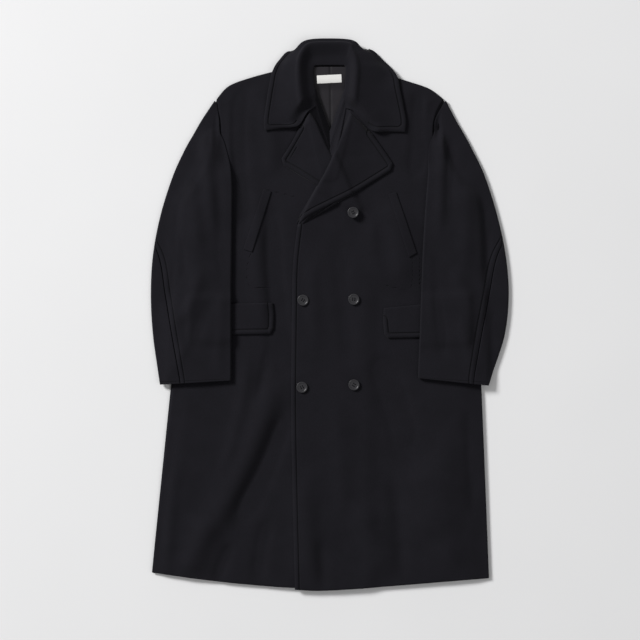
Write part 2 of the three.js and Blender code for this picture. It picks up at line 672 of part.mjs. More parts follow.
add('back', panel('back'), CLOTH);
add('lining', panel('lining'), SATIN);
add('label', panel('label'), TAPE);
for (const name of ['front_right', 'lapel_right', 'front_left', 'lapel_left', ...Object.keys(POCKETS)]) {
  add(name, panel(name), CLOTH);
}
add('collar', collar(), CLOTH);
for (const side of ['right', 'left']) {
  add(`top_sleeve_${side}`, topSleeve(SLEEVE[side]), CLOTH);
  add(`under_sleeve_${side}`, underSleeve(SLEEVE[side]), CLOTH);
}
BUTTONS.forEach(({ x, y }, i) => add(`button_${i + 1}`, button(), HORN, [x, y, buttonSeat(x, y)]));

export default coat;
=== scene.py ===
"""A long double-breasted melton overcoat laid flat: its cloth, stitching, buttons, light and camera."""
import logging
import math
from collections.abc import Callable
from dataclasses import dataclass, field
from enum import Enum

import bpy
import numpy as np
from mathutils.geometry import delaunay_2d_cdt
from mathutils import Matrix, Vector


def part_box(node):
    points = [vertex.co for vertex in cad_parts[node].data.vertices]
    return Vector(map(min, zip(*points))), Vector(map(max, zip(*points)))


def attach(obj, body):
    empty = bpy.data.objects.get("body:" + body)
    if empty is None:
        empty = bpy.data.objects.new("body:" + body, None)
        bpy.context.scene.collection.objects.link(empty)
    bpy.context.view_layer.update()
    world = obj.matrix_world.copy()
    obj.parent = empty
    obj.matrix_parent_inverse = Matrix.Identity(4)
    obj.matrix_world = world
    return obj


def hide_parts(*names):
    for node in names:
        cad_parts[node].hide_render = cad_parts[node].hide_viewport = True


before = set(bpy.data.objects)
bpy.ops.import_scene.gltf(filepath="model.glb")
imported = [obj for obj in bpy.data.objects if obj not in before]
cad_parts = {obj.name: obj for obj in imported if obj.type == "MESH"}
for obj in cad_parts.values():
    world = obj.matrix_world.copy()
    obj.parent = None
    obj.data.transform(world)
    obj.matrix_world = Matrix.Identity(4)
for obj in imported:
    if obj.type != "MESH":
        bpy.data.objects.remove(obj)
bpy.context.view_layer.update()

LOG = logging.getLogger("coat")
MM = 0.001
CUT_ANGLE_STEP = 0.5  # degrees between the rectangles tried round a cut
Row = dict[str, float]
Array = np.ndarray
Heights = Callable[[Array, Array], Array]


def table(columns: str, *rows: tuple[float, ...]) -> list[Row]:
    """Names the columns of a short table, a row for each point, section or fold."""
    return [dict(zip(columns.split(), row)) for row in rows]


# Lengths below are in millimetres, as on the paper pattern. Right is the wearer's right.
SEAM = 0.3
WALL = {"back": 3.0, "lining": 1.0, "label": 0.6, "front": 3.0, "lapel": 4.0, "welt": 2.0, "flap": 4.0,
        "sleeve": 3.0, "collar": 4.2}
LOFT = 3.0
LOFT_SIDE = 38.0
ROLL_RISE = 7.0
ROLL_WIDTH = 50.0
SLEEVE_HOLLOW = 3.4
FOLD_HOLLOW = 1.6
ARC_SHARE = 0.13
FRONT_SEAM = 0.98
STITCH_INSET = 10.0
STITCH_TRIM = {"front": (12, 14), "lapel_edge": (10, 8), "lapel_foot": (8, 14)}
FAR_FROM_STITCHES = 500.0
ROLL_HOLD = (4.0, -1.5)
ROLL_LIFT_FROM = (170, 330)
NECK_FROM = (400, 450)
NECK_SIDE = (60, 140)
NECK_FLATNESS = 0.85
FOLD_DEPTH = 2.7
SLEEVE_FOLD_DEPTH = 2.1

PILE_RIPPLES = table("height size seed", (1.3, 110, 3), (0.35, 42, 5))
SLEEVE_RIPPLES = table("height size seed", (0.9, 60, 21), (0.3, 28, 22))

SIDE = {
    "right": table("x y", (-373, -540), (-364, -450), (-353, -360), (-329, -153), (-316, -10), (-304, 136),
                   (-294, 222)),
    "left": table("x y", (334, -552), (330, -450), (326, -346), (318, -153), (309, 32), (301, 178),
                  (294, 234)),
}
ARMHOLE = {
    "right": table("x y", (-294, 222), (-266, 262), (-246, 298), (-235, 337), (-229.5, 369), (-228.5, 393),
                   (-231, 421), (-237, 453)),
    "left": table("x y", (294, 234), (262, 263), (240, 297), (225, 334), (217, 370), (216.5, 398),
                  (223.5, 427),
                  (238, 453)),
}
SHOULDER = {
    "right": table("x y", (-237, 453), (-212, 480), (-165, 498), (-94, 516.5), (-48, 526)),
    "left": table("x y", (238, 453), (210, 474), (168, 489), (106, 507), (48, 526)),
}
HEM = {
    "back": table("x y", (-373, -540), (-272, -552), (-146, -562), (0, -572), (147, -564), (274, -554),
                  (334, -552)),
    "right": table("x y", (-373, -540), (-272, -554), (-190, -563.5), (-77, -572), (70, -574)),
    "left": table("x y", (-73, -575.5), (-20, -578), (63, -573.5), (147, -567), (274, -556.5), (334, -552)),
}
BACK_NECK = table("x y", (-48, 526), (-28, 521.5), (0, 520.6), (28, 521.5), (48, 526))
NECKLINE = {
    "right": table("x y", (-48, 526), (-42, 490), (-40, 452), (-42, 424)),
    "left": table("x y", (48, 526), (42, 490), (41, 452), (43, 424)),
}
ROLL = {
    "right": table("x y", (-42, 424), (-27, 401), (-8, 357), (7, 330), (21, 300), (43, 250), (60, 222)),
    "left": table("x y", (43, 424), (32, 393), (21, 367), (-4, 309), (-39, 246), (-55, 214), (-68, 187)),
}
FRONT_EDGE = {
    "right": table("x y", (60, 222), (69, 160), (70, 30), (70, -574)),
    "left": table("x y", (-68, 187), (-77, 105), (-79, 10), (-81, -178), (-78.5, -346), (-73, -575.5)),
}
LAPEL_EDGE = {
    "right": table("x y", (-64, 391), (-83, 358), (-101, 328)),
    "left": table("x y", (88, 380), (111, 348), (132, 317)),
}
LAPEL_FOOT = {
    "right": table("x y", (-97, 313), (-66, 296), (-35, 276), (11, 248), (60, 222)),
    "left": table("x y", (128, 303), (93, 281), (47, 253), (0, 230), (-43, 208), (-68, 187)),
}
POCKETS = {
    "chest_welt_right": table("x y", (-138.5, 264), (-181, 137.5), (-162.5, 131.5), (-122.5, 258.5)),
    "chest_welt_left": table("x y", (139, 258), (122.5, 253), (165.5, 120.5), (182, 129.5)),
    "flap_right": table("x y", (-281, 23), (-281, -42), (-124.5, -40), (-118, -28), (-117, 0),
                        (-119.5, 25.5)),
    "flap_left": table("x y", (113, 14.5), (111.5, -12), (114, -40), (122, -48.5), (281, -45), (278, 30.5)),
}
LINING = table("x y", (-40, 520.3), (-40, 405), (-24, 330), (-12, 285), (10, 285), (22, 330), (40, 405),
               (40, 520.3))
POCKET_BAGS = {
    "right": [table("x y", (-142, 263), (-110, 257), (-72, 247)),
              table("x y", (-165, 130), (-174, 94), (-170, 66), (-158, 58), (-112, 55))],
    "left": [table("x y", (173, 120), (173, 72), (168, 58), (152, 54), (118, 62)),
             table("x y", (188, 122), (189, 58))],
}
BUTTONHOLE = table("x y", (-68.8, 350.7), (-76, 339), (-83.5, 327.6))
LAPEL_END = table("x y reach", (-68, 187, 52))
LABEL = {"x": -1.0, "y": 494.5, "width": 51.5, "height": 17.0, "tilt": 0.05}
BUTTONS = table("x y", (48.8, 214.2), (-56.2, 31), (50.1, 32.8), (-58.3, -151.2), (50.5, -146.2))
COLLAR_FALL = table("x y", (-76, 560), (-70, 497), (70, 497), (76, 560))

# Each fold runs from one point to another, bowed sideways, and is so wide and so high or deep.
FRONT_FOLDS = table(
    "x1 y1 x2 y2 bow width rise",
    (-112, -140, -262, -470, -14, 30, 3.5),
    (-92, -190, -205, -440, -10, 24, -3.5),
    (-121, 235, -90, -130, 12, 20, -3.2),
    (-150, 200, -128, -20, 6, 24, 1.8),
    (-186, 300, -176, 180, -4, 15, -1.6),
    (104, -95, 160, -285, -8, 26, -3.5),
    (190, -310, 215, -470, 0, 34, 3),
    (60, -400, 112, -548, -6, 30, 2.5),
    (-55, -330, -40, -560, 0, 26, 2.5),
    (-250, -420, -300, -548, 0, 26, 3),
    (240, -250, 262, -545, 6, 36, 3),
    (150, 60, 120, 240, 10, 34, 3),
    (-170, -70, -225, -330, -10, 14, 1.3),
    (-118, -60, -150, -180, 4, 10, -1.2),
    (-184, 470, -186, 290, 8, 14, -3.2),
    (-212, 430, -206, 300, 4, 10, 1.2),
    (-152, 470, -120, 300, -12, 18, 1.6),
    (186, 470, 178, 290, -6, 15, -2.8),
    (205, 455, 196, 350, 4, 10, 1.3),
    (90, 210, 112, 60, 6, 16, 1.3),
    (20, 150, 44, -100, 4, 18, -1.2),
    (-40, 110, -30, -60, 0, 16, 1.1),
    (10, -180, 26, -420, -6, 20, 1.2),
    (130, -330, 150, -545, -4, 16, -1.5),
    (-130, -430, -150, -560, 4, 14, -1.6),
    (-205, -480, -238, -560, 2, 12, -1.5),
    (-330, -300, -345, -520, 2, 16, 1.6),
    (290, -180, 300, -430, -3, 14, -1.4),
    (-20, -470, -12, -575, 0, 13, -1.3),
)
SLEEVE_FOLDS = table(
    "x1 y1 x2 y2 bow width rise",
    (-262, 390, -236, 170, 4, 16, 2.6),
    (-236, 300, -222, 60, 0, 12, -1.6),
    (-292, 300, -268, 120, 4, 16, 1.6),
    (-320, 240, -300, 60, 6, 13, -1.4),
    (-270, 95, -322, -20, -8, 16, 2.4),
    (-318, 110, -345, 20, -6, 12, -2.0),
    (-235, 40, -290, -70, 6, 14, -1.4),
    (-222, 60, -232, -110, 0, 11, 1.3),
    (-300, -60, -330, -130, 3, 12, 1.3),
    (232, 385, 226, 170, -4, 13, 2.0),
    (256, 372, 250, 190, 4, 14, -1.8),
    (290, 290, 282, 110, -4, 18, 1.8),
    (330, 230, 322, 60, -5, 12, -1.4),
    (262, 90, 320, -10, 8, 16, 2.0),
    (215, 70, 236, -90, -4, 12, -1.4),
    (276, 0, 306, -120, 4, 14, 1.5),
    (205, 150, 212, -20, 0, 10, 1.2),
)

COLLAR = table(
    "nx ny nz rx ry rz mx my ox oy under",
    (-27, 439, 12, -46, 425, 24, -65.5, 396, -136, 386, 0),
    (-28, 452, 12, -57, 437, 26, -94, 413, -138, 405, 0),
    (-30, 468, 12, -62, 462, 27, -97, 449, -133, 443, 0),
    (-32, 485, 12, -65, 487, 27, -95, 483, -127, 481, 0),
    (-34, 501, 12, -66, 512, 26, -93, 513, -121, 509, 0),
    (-34, 514, 12, -64, 535, 24, -86, 533, -108, 532, 0.1),
    (-31, 521.5, 12, -56, 554, 21, -72, 553, -84, 552, 0.5),
    (-22, 522.6, 12, -40, 567, 18, -50, 573, -62, 508, 1),
    (0, 522.8, 12, 0, 569, 17, 0, 577, 0, 500, 1),
    (22, 522.6, 12, 38, 567, 18, 48, 573, 60, 508, 1),
    (31, 521.5, 12, 47, 554, 21, 66, 556, 82, 556, 0.5),
    (34, 512, 12, 53, 535, 24, 88, 538, 114, 533, 0.1),
    (33, 497, 12, 55, 512, 26, 101, 510, 140, 503, 0),
    (32, 481, 12, 53, 487, 27, 100, 477, 147, 473, 0),
    (29, 464, 12, 51, 462, 27, 99, 446, 154, 440, 0),
    (27, 450, 12, 49, 443, 26, 97, 415, 160, 406, 0),
    (24, 438, 12, 47, 428, 24, 90, 385, 158, 383, 0),
)
SLEEVE = {
    "right": table(
        "ox oy ix iy seam fold",
        (-242, 449, -237.5, 446, -0.1, 0),
        (-268, 410, -232, 410, -0.1, 0),
        (-287, 377, -230, 384, -0.12, 0.1),
        (-304, 347, -219, 357, -0.12, 0.8),
        (-329, 292, -205, 292, -0.12, 1),
        (-355, 210, -204, 210, -0.09, 1),
        (-371, 126, -205, 126, 0.17, 1),
        (-375.5, 42, -206, 42, 0.257, 1),
        (-371, -42, -206, -42, 0.306, 1),
        (-360, -120, -206, -118, 0.335, 1),
        (-356, -146, -206.5, -137, 0.34, 1),
    ),
    "left": table(
        "ox oy ix iy seam fold",
        (244, 449, 239.5, 446, -0.1, 0),
        (264, 410, 221, 410, -0.1, 0),
        (283, 377, 218.5, 384, -0.12, 0.1),
        (299, 347, 207.5, 352, -0.12, 0.8),
        (325, 292, 205, 292, -0.12, 1),
        (351, 210, 199, 210, -0.07, 1),
        (369, 126, 194, 126, 0.192, 1),
        (375.5, 42, 191, 42, 0.29, 1),
        (367, -42, 188, -42, 0.33, 1),
        (342, -120, 185, -118, 0.305, 1),
        (333, -148, 185, -132, 0.28, 1),
    ),
}


class Side(Enum):
    """The wearer's right or left."""

    RIGHT = "right"
    LEFT = "left"


def smoothstep(low: float, high: float, value: Array) -> Array:
    """A smooth step from 0 at low to 1 at high."""
    t = np.clip((value - low) / (high - low), 0, 1)
    return t * t * (3 - 2 * t)


def hermite(values: Array, share: Array) -> Array:
    """A smooth curve through rows of values.

    Args:
        values: One row for each point.
        share: Places along the curve, 0 at its start and 1 at its end.

    Returns:
        A row of values for each place.
    """
    last = len(values) - 1
    place = np.clip(share, 0, 1) * last
    i = np.minimum(place.astype(int), last - 1)
    t = (place - i)[(...,) + (None,) * (values.ndim - 1)]
    a, b, c, d = (values[np.clip(i + k, 0, last)] for k in (-1, 0, 1, 2))
    m0, m1 = (c - a) / 2, (d - b) / 2
    return (2 * b - 2 * c + m0 + m1) * t**3 + (3 * c - 3 * b - 2 * m0 - m1) * t**2 + m0 * t + b


def line_of(rows: list[Row]) -> Array:
    """The points of a table's x and y columns."""
    return np.array([[row["x"], row["y"]] for row in rows], dtype=float)


def spaced(points: Array, step: float) -> Array:
    """A line's points spread evenly along it, its ends kept."""
    lengths = np.hypot(*np.diff(points, axis=0).T)
    along = np.concatenate([[0], np.cumsum(lengths)])
    places = np.linspace(0, along[-1], max(2, round(along[-1] / step) + 1))
    return np.stack([np.interp(places, along, points[:, k]) for k in (0, 1)], axis=1)


def smooth_edge(rows: list[Row], step: float = 4.0) -> Array:
    """The smooth edge through a table's points; two rows give a straight one."""
    points = line_of(rows)
    if len(points) > 2:
        points = hermite(points, np.linspace(0, 1, len(points) * 12))
    return spaced(points, step)


def distance_to_line(points: Array, x: Array, y: Array) -> Array:
    """The distance of every place from a line of points."""
    nearest = np.full(np.shape(x), 1e9)
    for (x1, y1), (x2, y2) in zip(points[:-1], points[1:]):
        dx, dy = x2 - x1, y2 - y1
        along = np.clip(((x - x1) * dx + (y - y1) * dy) / (dx * dx + dy * dy + 1e-12), 0, 1)
        nearest = np.minimum(nearest, np.hypot(x - x1 - along * dx, y - y1 - along * dy))
    return nearest


def fold_height(folds: list[Row], x: Array, y: Array) -> Array:
    """The height of all the folds of a table, each swelling to its middle and fading at its ends."""
    height = np.zeros(np.shape(x))
    for fold in folds:
        dx, dy = fold["x2"] - fold["x1"], fold["y2"] - fold["y1"]
        length = math.hypot(dx, dy)
        along = ((x - fold["x1"]) * dx + (y - fold["y1"]) * dy) / length**2
        across = ((x - fold["x1"]) * dy - (y - fold["y1"]) * dx) / length
        across = across - fold["bow"] * 4 * along * (1 - along)
        fade = smoothstep(-0.12, 0.25, along) * (1 - smoothstep(0.75, 1.12, along))
        height += fold["rise"] * fade * np.exp(-((across / fold["width"]) ** 2))
    return height


def ripple(x: Array, y: Array, size: float, seed: int) -> Array:
    """Soft unevenness from -1 to 1, with hills about size across."""
    values = np.random.default_rng(seed).uniform(-1, 1, (64, 64))
    u, v = x / size + 1000.37, y / size + 1000.71
    i, j = np.floor(u).astype(int), np.floor(v).astype(int)
    s, t = smoothstep(0, 1, u - i), smoothstep(0, 1, v - j)
    a, b = values[i % 64, j % 64], values[(i + 1) % 64, j % 64]
    c, d = values[i % 64, (j + 1) % 64], values[(i + 1) % 64, (j + 1) % 64]
    return (a * (1 - s) + b * s) * (1 - t) + (c * (1 - s) + d * s) * t


@dataclass
class Outline:
    """The closed outline of a flat-cut piece, counter-clockwise."""

    points: Array

    @classmethod
    def of(cls, *edges: Array) -> "Outline":
        """Joins edges that follow each other, without doubled corners."""
        points = np.concatenate(edges)
        keep = np.hypot(*(points - np.roll(points, 1, axis=0)).T) > 0.3
        points = points[keep]
        ahead = np.roll(points, -1, axis=0)
        area = np.sum(points[:, 0] * ahead[:, 1] - ahead[:, 0] * points[:, 1])
        return cls(points if area > 0 else points[::-1])

    def area(self) -> float:
        """The outline's area in square millimetres."""
        ahead = np.roll(self.points, -1, axis=0)
        return float(abs(np.sum(self.points[:, 0] * ahead[:, 1] - ahead[:, 0] * self.points[:, 1])) / 2)

    def cut_size(self) -> tuple[float, float]:
        """The width and length, in metres, of the smallest rectangle that the outline fits in."""
        boxes = []
        for angle in np.radians(np.arange(0, 90, CUT_ANGLE_STEP)):
            turned = self.points @ np.array([[math.cos(angle), -math.sin(angle)],
                                             [math.sin(angle), math.cos(angle)]])
            boxes.append(sorted(turned.max(axis=0) - turned.min(axis=0)))
        width, length = min(boxes, key=lambda box: box[0] * box[1])
        return float(width * MM), float(length * MM)

    def closed(self) -> Array:
        """The points with the first one repeated at the end."""
        return np.concatenate([self.points, self.points[:1]])

    def distance(self, x: Array, y: Array) -> Array:
        """The distance of each place from the outline, negative inside it."""
        line = self.closed()
        inside = np.zeros(np.shape(x), dtype=bool)
        for (ax, ay), (bx, by) in zip(line[:-1], line[1:]):
            if ay != by:
                inside ^= ((ay > y) != (by > y)) & (x < (bx - ax) * (y - ay) / (by - ay) + ax)
        nearest = distance_to_line(line, x, y)
        return np.where(inside, -nearest, nearest)

    def inset(self, depth: float) -> Array:
        """The outline's points moved inwards."""
        ahead, behind = np.roll(self.points, -1, axis=0), np.roll(self.points, 1, axis=0)
        first, second = self.points - behind, ahead - self.points
        first /= np.hypot(*first.T)[:, None]
        second /= np.hypot(*second.T)[:, None]
        normal = np.stack([-(first + second)[:, 1], (first + second)[:, 0]], axis=1)
        length = np.hypot(*normal.T)
        normal /= np.maximum(length, 1e-6)[:, None]
        reach = depth / np.clip(length / 2, 0.45, 1)
        return self.points + normal * reach[:, None]


@dataclass
class Layer:
    """One layer of the pile of cloth: its outline and wall, and how softly what lies above steps off it."""

    name: str
    outline: Outline
    wall: float
    lofted: bool = False
    step: float = 13.0


def pulled(rows: list[Row], other: tuple[float, float]) -> Array:
    """A smooth edge moved bodily, as a front's edge inside the turn of its lapel."""
    return smooth_edge(rows) + np.array(other)


def front_outline(side: Side) -> Outline:
    """The outline of a front, held back from the roll line so that the lapel turns over it."""
    key = side.value
    inward, down = ROLL_HOLD
    inward = -inward if side is Side.RIGHT else inward
    return Outline.of(
        smooth_edge(SIDE[key]), smooth_edge(ARMHOLE[key]), smooth_edge(SHOULDER[key]),
        smooth_edge(NECKLINE[key]),
        pulled(ROLL[key], (inward, down)), smooth_edge(FRONT_EDGE[key]),
        smooth_edge(HEM[key])[::-1] if side is Side.RIGHT else smooth_edge(HEM[key]),
    )


def lapel_outline(side: Side) -> Outline:
    """The outline of a lapel, from its roll line to its notched edge."""
    key = side.value
    return Outline.of(smooth_edge(ROLL[key], 3), smooth_edge(LAPEL_FOOT[key], 3)[::-1],
                      smooth_edge(LAPEL_EDGE[key], 3)[::-1])


def back_outline() -> Outline:
    """The outline of the back."""
    return Outline.of(
        smooth_edge(SIDE["right"]), smooth_edge(ARMHOLE["right"]), smooth_edge(SHOULDER["right"]),
        smooth_edge(BACK_NECK), smooth_edge(SHOULDER["left"])[::-1], smooth_edge(ARMHOLE["left"])[::-1],
        smooth_edge(SIDE["left"])[::-1], smooth_edge(HEM["back"])[::-1],
    )


def polygon_outline(rows: list[Row], step: float = 3.0) -> Outline:
    """An outline with straight sides through a table's points."""
    corners = line_of(rows)
    return Outline.of(*(spaced(np.stack([a, b]), step) for a,
                        b in zip(corners, np.roll(corners, -1, axis=0))))


def label_outline() -> Outline:
    """The outline of the tilted label."""
    turn = np.array([[math.cos(LABEL["tilt"]), math.sin(LABEL["tilt"])],
                     [-math.sin(LABEL["tilt"]), math.cos(LABEL["tilt"])]])
    corners = np.array([[-1, -1], [1, -1], [1, 1], [-1, 1]]) * [LABEL["width"] / 2, LABEL["height"] / 2]
    corners = corners @ turn + [LABEL["x"], LABEL["y"]]
    rows = [{"x": x, "y": y} for x, y in corners]
    return polygon_outline(rows, 2.5)


@dataclass
class Pile:
    """The pile of cloth, as heights on a fine grid of places over the whole coat."""

    layers: list[Layer]
    step: float = 3.0
    half: float = 408.0
    low: float = -606.0
    high: float = 606.0
    undersides: dict[str, Array] = field(default_factory=dict)
    top: Array | None = None
    sleeve_bed: Array | None = None
    collar_bed: Array | None = None

    def __post_init__(self) -> None:
        """Works out the underside of each layer and the top of the pile."""
        self.xs = np.arange(-self.half, self.half + 1, self.step)
        self.ys = np.arange(self.low, self.high + 1, self.step)
        x, y = np.meshgrid(self.xs, self.ys, indexing="ij")
        loft = self.rise(x, y)
        height = np.zeros_like(x)
        for layer in self.layers:
            self.undersides[layer.name] = height + (loft if layer.lofted else 0)
            cover = self.cover(layer, x, y)
            height = height + (layer.wall + SEAM) * cover
            if layer.name == "back":
                back_cover = cover
        self.top = height + loft * back_cover
        self.sleeve_bed = self.softened(self.widened(self.top, 3), 3)
        self.collar_bed = self.softened(self.widened(self.top, 2), 3)

    def cover(self, layer: Layer, x: Array, y: Array) -> Array:
        """How fully a layer lifts what lies above it, 1 on it and 0 a step away from it."""
        line = Outline(spaced(layer.outline.closed(), 9.0)[:-1])
        reach = layer.step + 4
        low, high = line.points.min(axis=0) - reach, line.points.max(axis=0) + reach
        near = (x > low[0]) & (x < high[0]) & (y > low[1]) & (y < high[1])
        cover = np.zeros_like(x)
        cover[near] = 1 - smoothstep(1.5, 1.5 + layer.step, line.distance(x[near], y[near]))
        return cover

    @staticmethod
    def rise(x: Array, y: Array) -> Array:
        """How far the fronts stand over the back: their loft, the lift at the roll lines, the folds."""
        edges = [part[key] for part in (SIDE, ARMHOLE, SHOULDER) for key in ("right", "left")]
        edge = np.min([distance_to_line(line_of(rows), x, y) for rows in edges], axis=0)
        share = smoothstep(0, LOFT_SIDE, edge)
        roll = np.min([distance_to_line(line_of(rows), x, y) for rows in ROLL.values()], axis=0)
        roll_lift = ROLL_RISE * np.exp(-((roll / ROLL_WIDTH) ** 2)) * smoothstep(*ROLL_LIFT_FROM, y)
        at_neck = smoothstep(*NECK_FROM, y) * (1 - smoothstep(*NECK_SIDE, np.abs(x)))
        uneven = sum(row["height"] * ripple(x, y, row["size"], row["seed"]) for row in PILE_RIPPLES)
        folds = FOLD_DEPTH * fold_height(FRONT_FOLDS, x, y)
        return np.maximum(0, share * (LOFT + roll_lift + folds + uneven) * (1 - NECK_FLATNESS * at_neck))

    @staticmethod
    def widened(values: Array, cells: int) -> Array:
        """The highest value within some cells of each place."""
        result = values.copy()
        for i in range(-cells, cells + 1):
            for j in range(-cells, cells + 1):
                result = np.maximum(result, np.roll(values, (i, j), axis=(0, 1)))
        return result

    @staticmethod
    def softened(values: Array, rounds: int) -> Array:
        """The values averaged with their neighbours, several times over."""
        for _ in range(rounds):
            for axis in (0, 1):
                values = (np.roll(values, 1, axis) + 2 * values + np.roll(values, -1, axis)) / 4
        return values

    def at(self, values: Array, x: Array, y: Array) -> Array:
        """The grid's value at any place, smooth between its points."""
        u = np.clip((x - self.xs[0]) / self.step, 0, len(self.xs) - 1.001)
        v = np.clip((y - self.ys[0]) / self.step, 0, len(self.ys) - 1.001)
        i, j = u.astype(int), v.astype(int)
        s, t = u - i, v - j
        low = values[i, j] * (1 - s) + values[i + 1, j] * s
        high = values[i, j + 1] * (1 - s) + values[i + 1, j + 1] * s
        return low * (1 - t) + high * t


class Piece:
    """A finished mesh, and how it is dressed and attached to the coat."""

    @staticmethod
    def from_arrays(name: str, points: Array, faces: list,
                    attributes: dict[str, Array]) -> bpy.types.Object:
        """Makes a mesh object from millimetre points, and sets its point attributes.

        Args:
            name: The object's name.
            points: A row of x, y and z for each point.
            faces: The corners of each face.
            attributes: Values for each point, by attribute name.

        Returns:
            The new object, smooth shaded.
        """
        mesh = bpy.data.meshes.new(name)
        mesh.from_pydata((points * MM).tolist(), [], faces)
        for key, values in attributes.items():
            layer = mesh.attributes.new(key, "FLOAT", "POINT")
            layer.data.foreach_set("value", np.asarray(values, dtype=np.float32))
        mesh.polygons.foreach_set("use_smooth", [True] * len(mesh.polygons))
        mesh.validate()
        mesh.update()
        obj = bpy.data.objects.new(name, mesh)
        bpy.context.collection.objects.link(obj)
        return obj

    @staticmethod
    def finish(obj: bpy.types.Object, material: bpy.types.Material, slot: str, *nodes: str) -> None:
        """Gives a piece its finish, and lets it ride on the coat for its CAD nodes."""
        obj.data.materials.clear()
        obj.data.materials.append(material)
        if nodes:
            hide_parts(*nodes)
        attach(obj, "root")
        LOG.info("%s: %d faces", obj.name, len(obj.data.polygons))


@dataclass
class Panel:
    """A flat-cut piece of cloth in the pile: a closed shell with a rounded rim.

    Its edge attribute is the distance from its stitched edges, for the topstitched groove and the painted
    shade along it.
    """

    name: str
    outline: Outline
    wall: float
    stitched: list[Array] = field(default_factory=list)
    roll: Array | None = None
    step: float = 5.0
    uneven: float = 0.12
    nose: float = 6.5
    plump: float = 0.0
    marks: list[Array] = field(default_factory=list)
    tapers: list[Row] = field(default_factory=list)
    stitch_inset: float = STITCH_INSET
    rim_roundness: float = 0.86
    taper_wall: float = 0.5
    taper_drop: float = 0.2
    nose_drop: tuple[float, float] = (3.8, 3.0)
    least_wall: float = 0.15

    def plan(self) -> tuple[Array, list]:
        """The piece's plan points and faces, with close rings of points along its rim."""
        rims = [0.0, 0.12, 0.5, self.wall / 2]
        if self.roll is not None:
            rims += [3.2, 4.8, 6.6]
        rings = [self.outline.inset(depth) for depth in rims]
        low, high = self.outline.points.min(axis=0), self.outline.points.max(axis=0)
        xs, ys = np.arange(low[0], high[0], self.step), np.arange(low[1], high[1], self.step * 0.87)
        x, y = np.meshgrid(xs, ys, indexing="ij")
        x = x + (np.arange(len(ys)) % 2) * self.step / 2
        x, y = x.ravel(), y.ravel()
        inside = self.outline.distance(x, y) < -(rims[-1] + self.step * 0.45)
        points = np.concatenate([*rings, np.stack([x[inside], y[inside]], axis=1)])
        count = len(self.outline.points)
        edges = [(i, (i + 1) % count) for i in range(count)]
        made = delaunay_2d_cdt(points.tolist(), edges, [], 1, 1e-4, False)
        return np.array([list(v) for v in made[0]]), [list(face) for face in made[2]]

    def build(self, pile: Pile) -> bpy.types.Object:
        """Makes the shell of the piece at its height in the pile."""
        plan, faces = self.plan()
        x, y = plan[:, 0], plan[:, 1]
        inside = np.maximum(0, -self.outline.distance(x, y))
        radius = self.wall / 2
        round_off = radius * (1 - np.sqrt(1 - (1 - np.clip(inside / radius, 0,
                                                           1)) ** 2)) * self.rim_roundness
        underside = pile.at(pile.undersides[self.name], x, y)
        top = underside + self.wall - round_off + self.uneven * ripple(x, y, 17, 9) * smoothstep(2, 9,
                                                                                                 inside)
        if self.stitched:
            rim = np.min([distance_to_line(line, x, y) for line in self.stitched], axis=0)
            top = top + self.plump * np.exp(-(((rim - 5) / 3.5) ** 2))
        low = underside + round_off
        for spot in self.tapers:
            near = 1 - smoothstep(0, spot["reach"], np.hypot(x - spot["x"], y - spot["y"]))
            top = top - near * (self.wall - self.taper_wall)
            low = low - near * self.taper_drop
        if self.roll is not None:
            turn = 1 - np.clip(distance_to_line(self.roll, x, y) / self.nose, 0, 1)
            drop = 1 - np.sqrt(1 - turn**2)
            top = top - self.nose_drop[0] * drop
            low = low - self.nose_drop[1] * drop
        low = np.minimum(low, top - self.least_wall)
        points = np.concatenate([np.stack([x, y, top], axis=1), np.stack([x, y, low], axis=1)])
        count = len(plan)
        shell = [*faces, *([c + count, b + count, a + count] for a, b, c in faces)]
        used = {}
        for a, b, c in faces:
            for edge in ((a, b), (b, c), (c, a)):
                used[edge] = True
        for a, b in used:
            if (b, a) not in used:
                shell.append([b, a, a + count, b + count])
        return Piece.from_arrays(self.name + "_cloth", points, shell, {"edge": self.edge_distance(points)})

    def edge_distance(self, points: Array) -> Array:
        """The distance of each point from the stitched edges."""
        x, y = points[:, 0], points[:, 1]
        edges = [distance_to_line(line, x, y) for line in self.stitched]
        marks = [distance_to_line(line, x, y) * 1.4 + self.stitch_inset for line in self.marks]
        return np.min([np.full(len(points), FAR_FROM_STITCHES), *edges, *marks], axis=0)


def shell_of(sheets: list[Array]) -> tuple[Array, list]:
    """Closes two matching sheets of points, rows by columns, into one shell.

    Args:
        sheets: The outer sheet and the inner one.

    Returns:
        The points and the faces.
    """
    rows, columns = sheets[0].shape[:2]
    points = np.concatenate([sheet.reshape(-1, 3) for sheet in sheets])
    index = np.arange(rows * columns).reshape(rows, columns)
    below = index + rows * columns
    faces = []
    for grid, flip in ((index, False), (below, True)):
        quads = np.stack([grid[:-1, :-1], grid[1:, :-1], grid[1:, 1:], grid[:-1, 1:]], axis=-1).reshape(-1,
                                                                                                        4)
        faces.append(quads[:, ::-1] if flip else quads)
    rim = np.concatenate([index[:, 0], index[-1, 1:], index[::-1, -1][1:], index[0, ::-1][1:]])
    lower = rim + rows * columns
    faces.append(np.stack([rim[:-1], rim[1:], lower[1:], lower[:-1]], axis=-1)[:, ::-1])
    return points, np.concatenate(faces)


def outward(points: Array, faces: Array) -> Array:
    """The faces, turned over if the shell they close is inside out."""
    a, b, c, d = (points[faces[:, k]] for k in range(4))
    volume = np.sum(a * np.cross(b, c)) + np.sum(a * np.cross(c, d))
    return faces if volume > 0 else faces[:, ::-1]


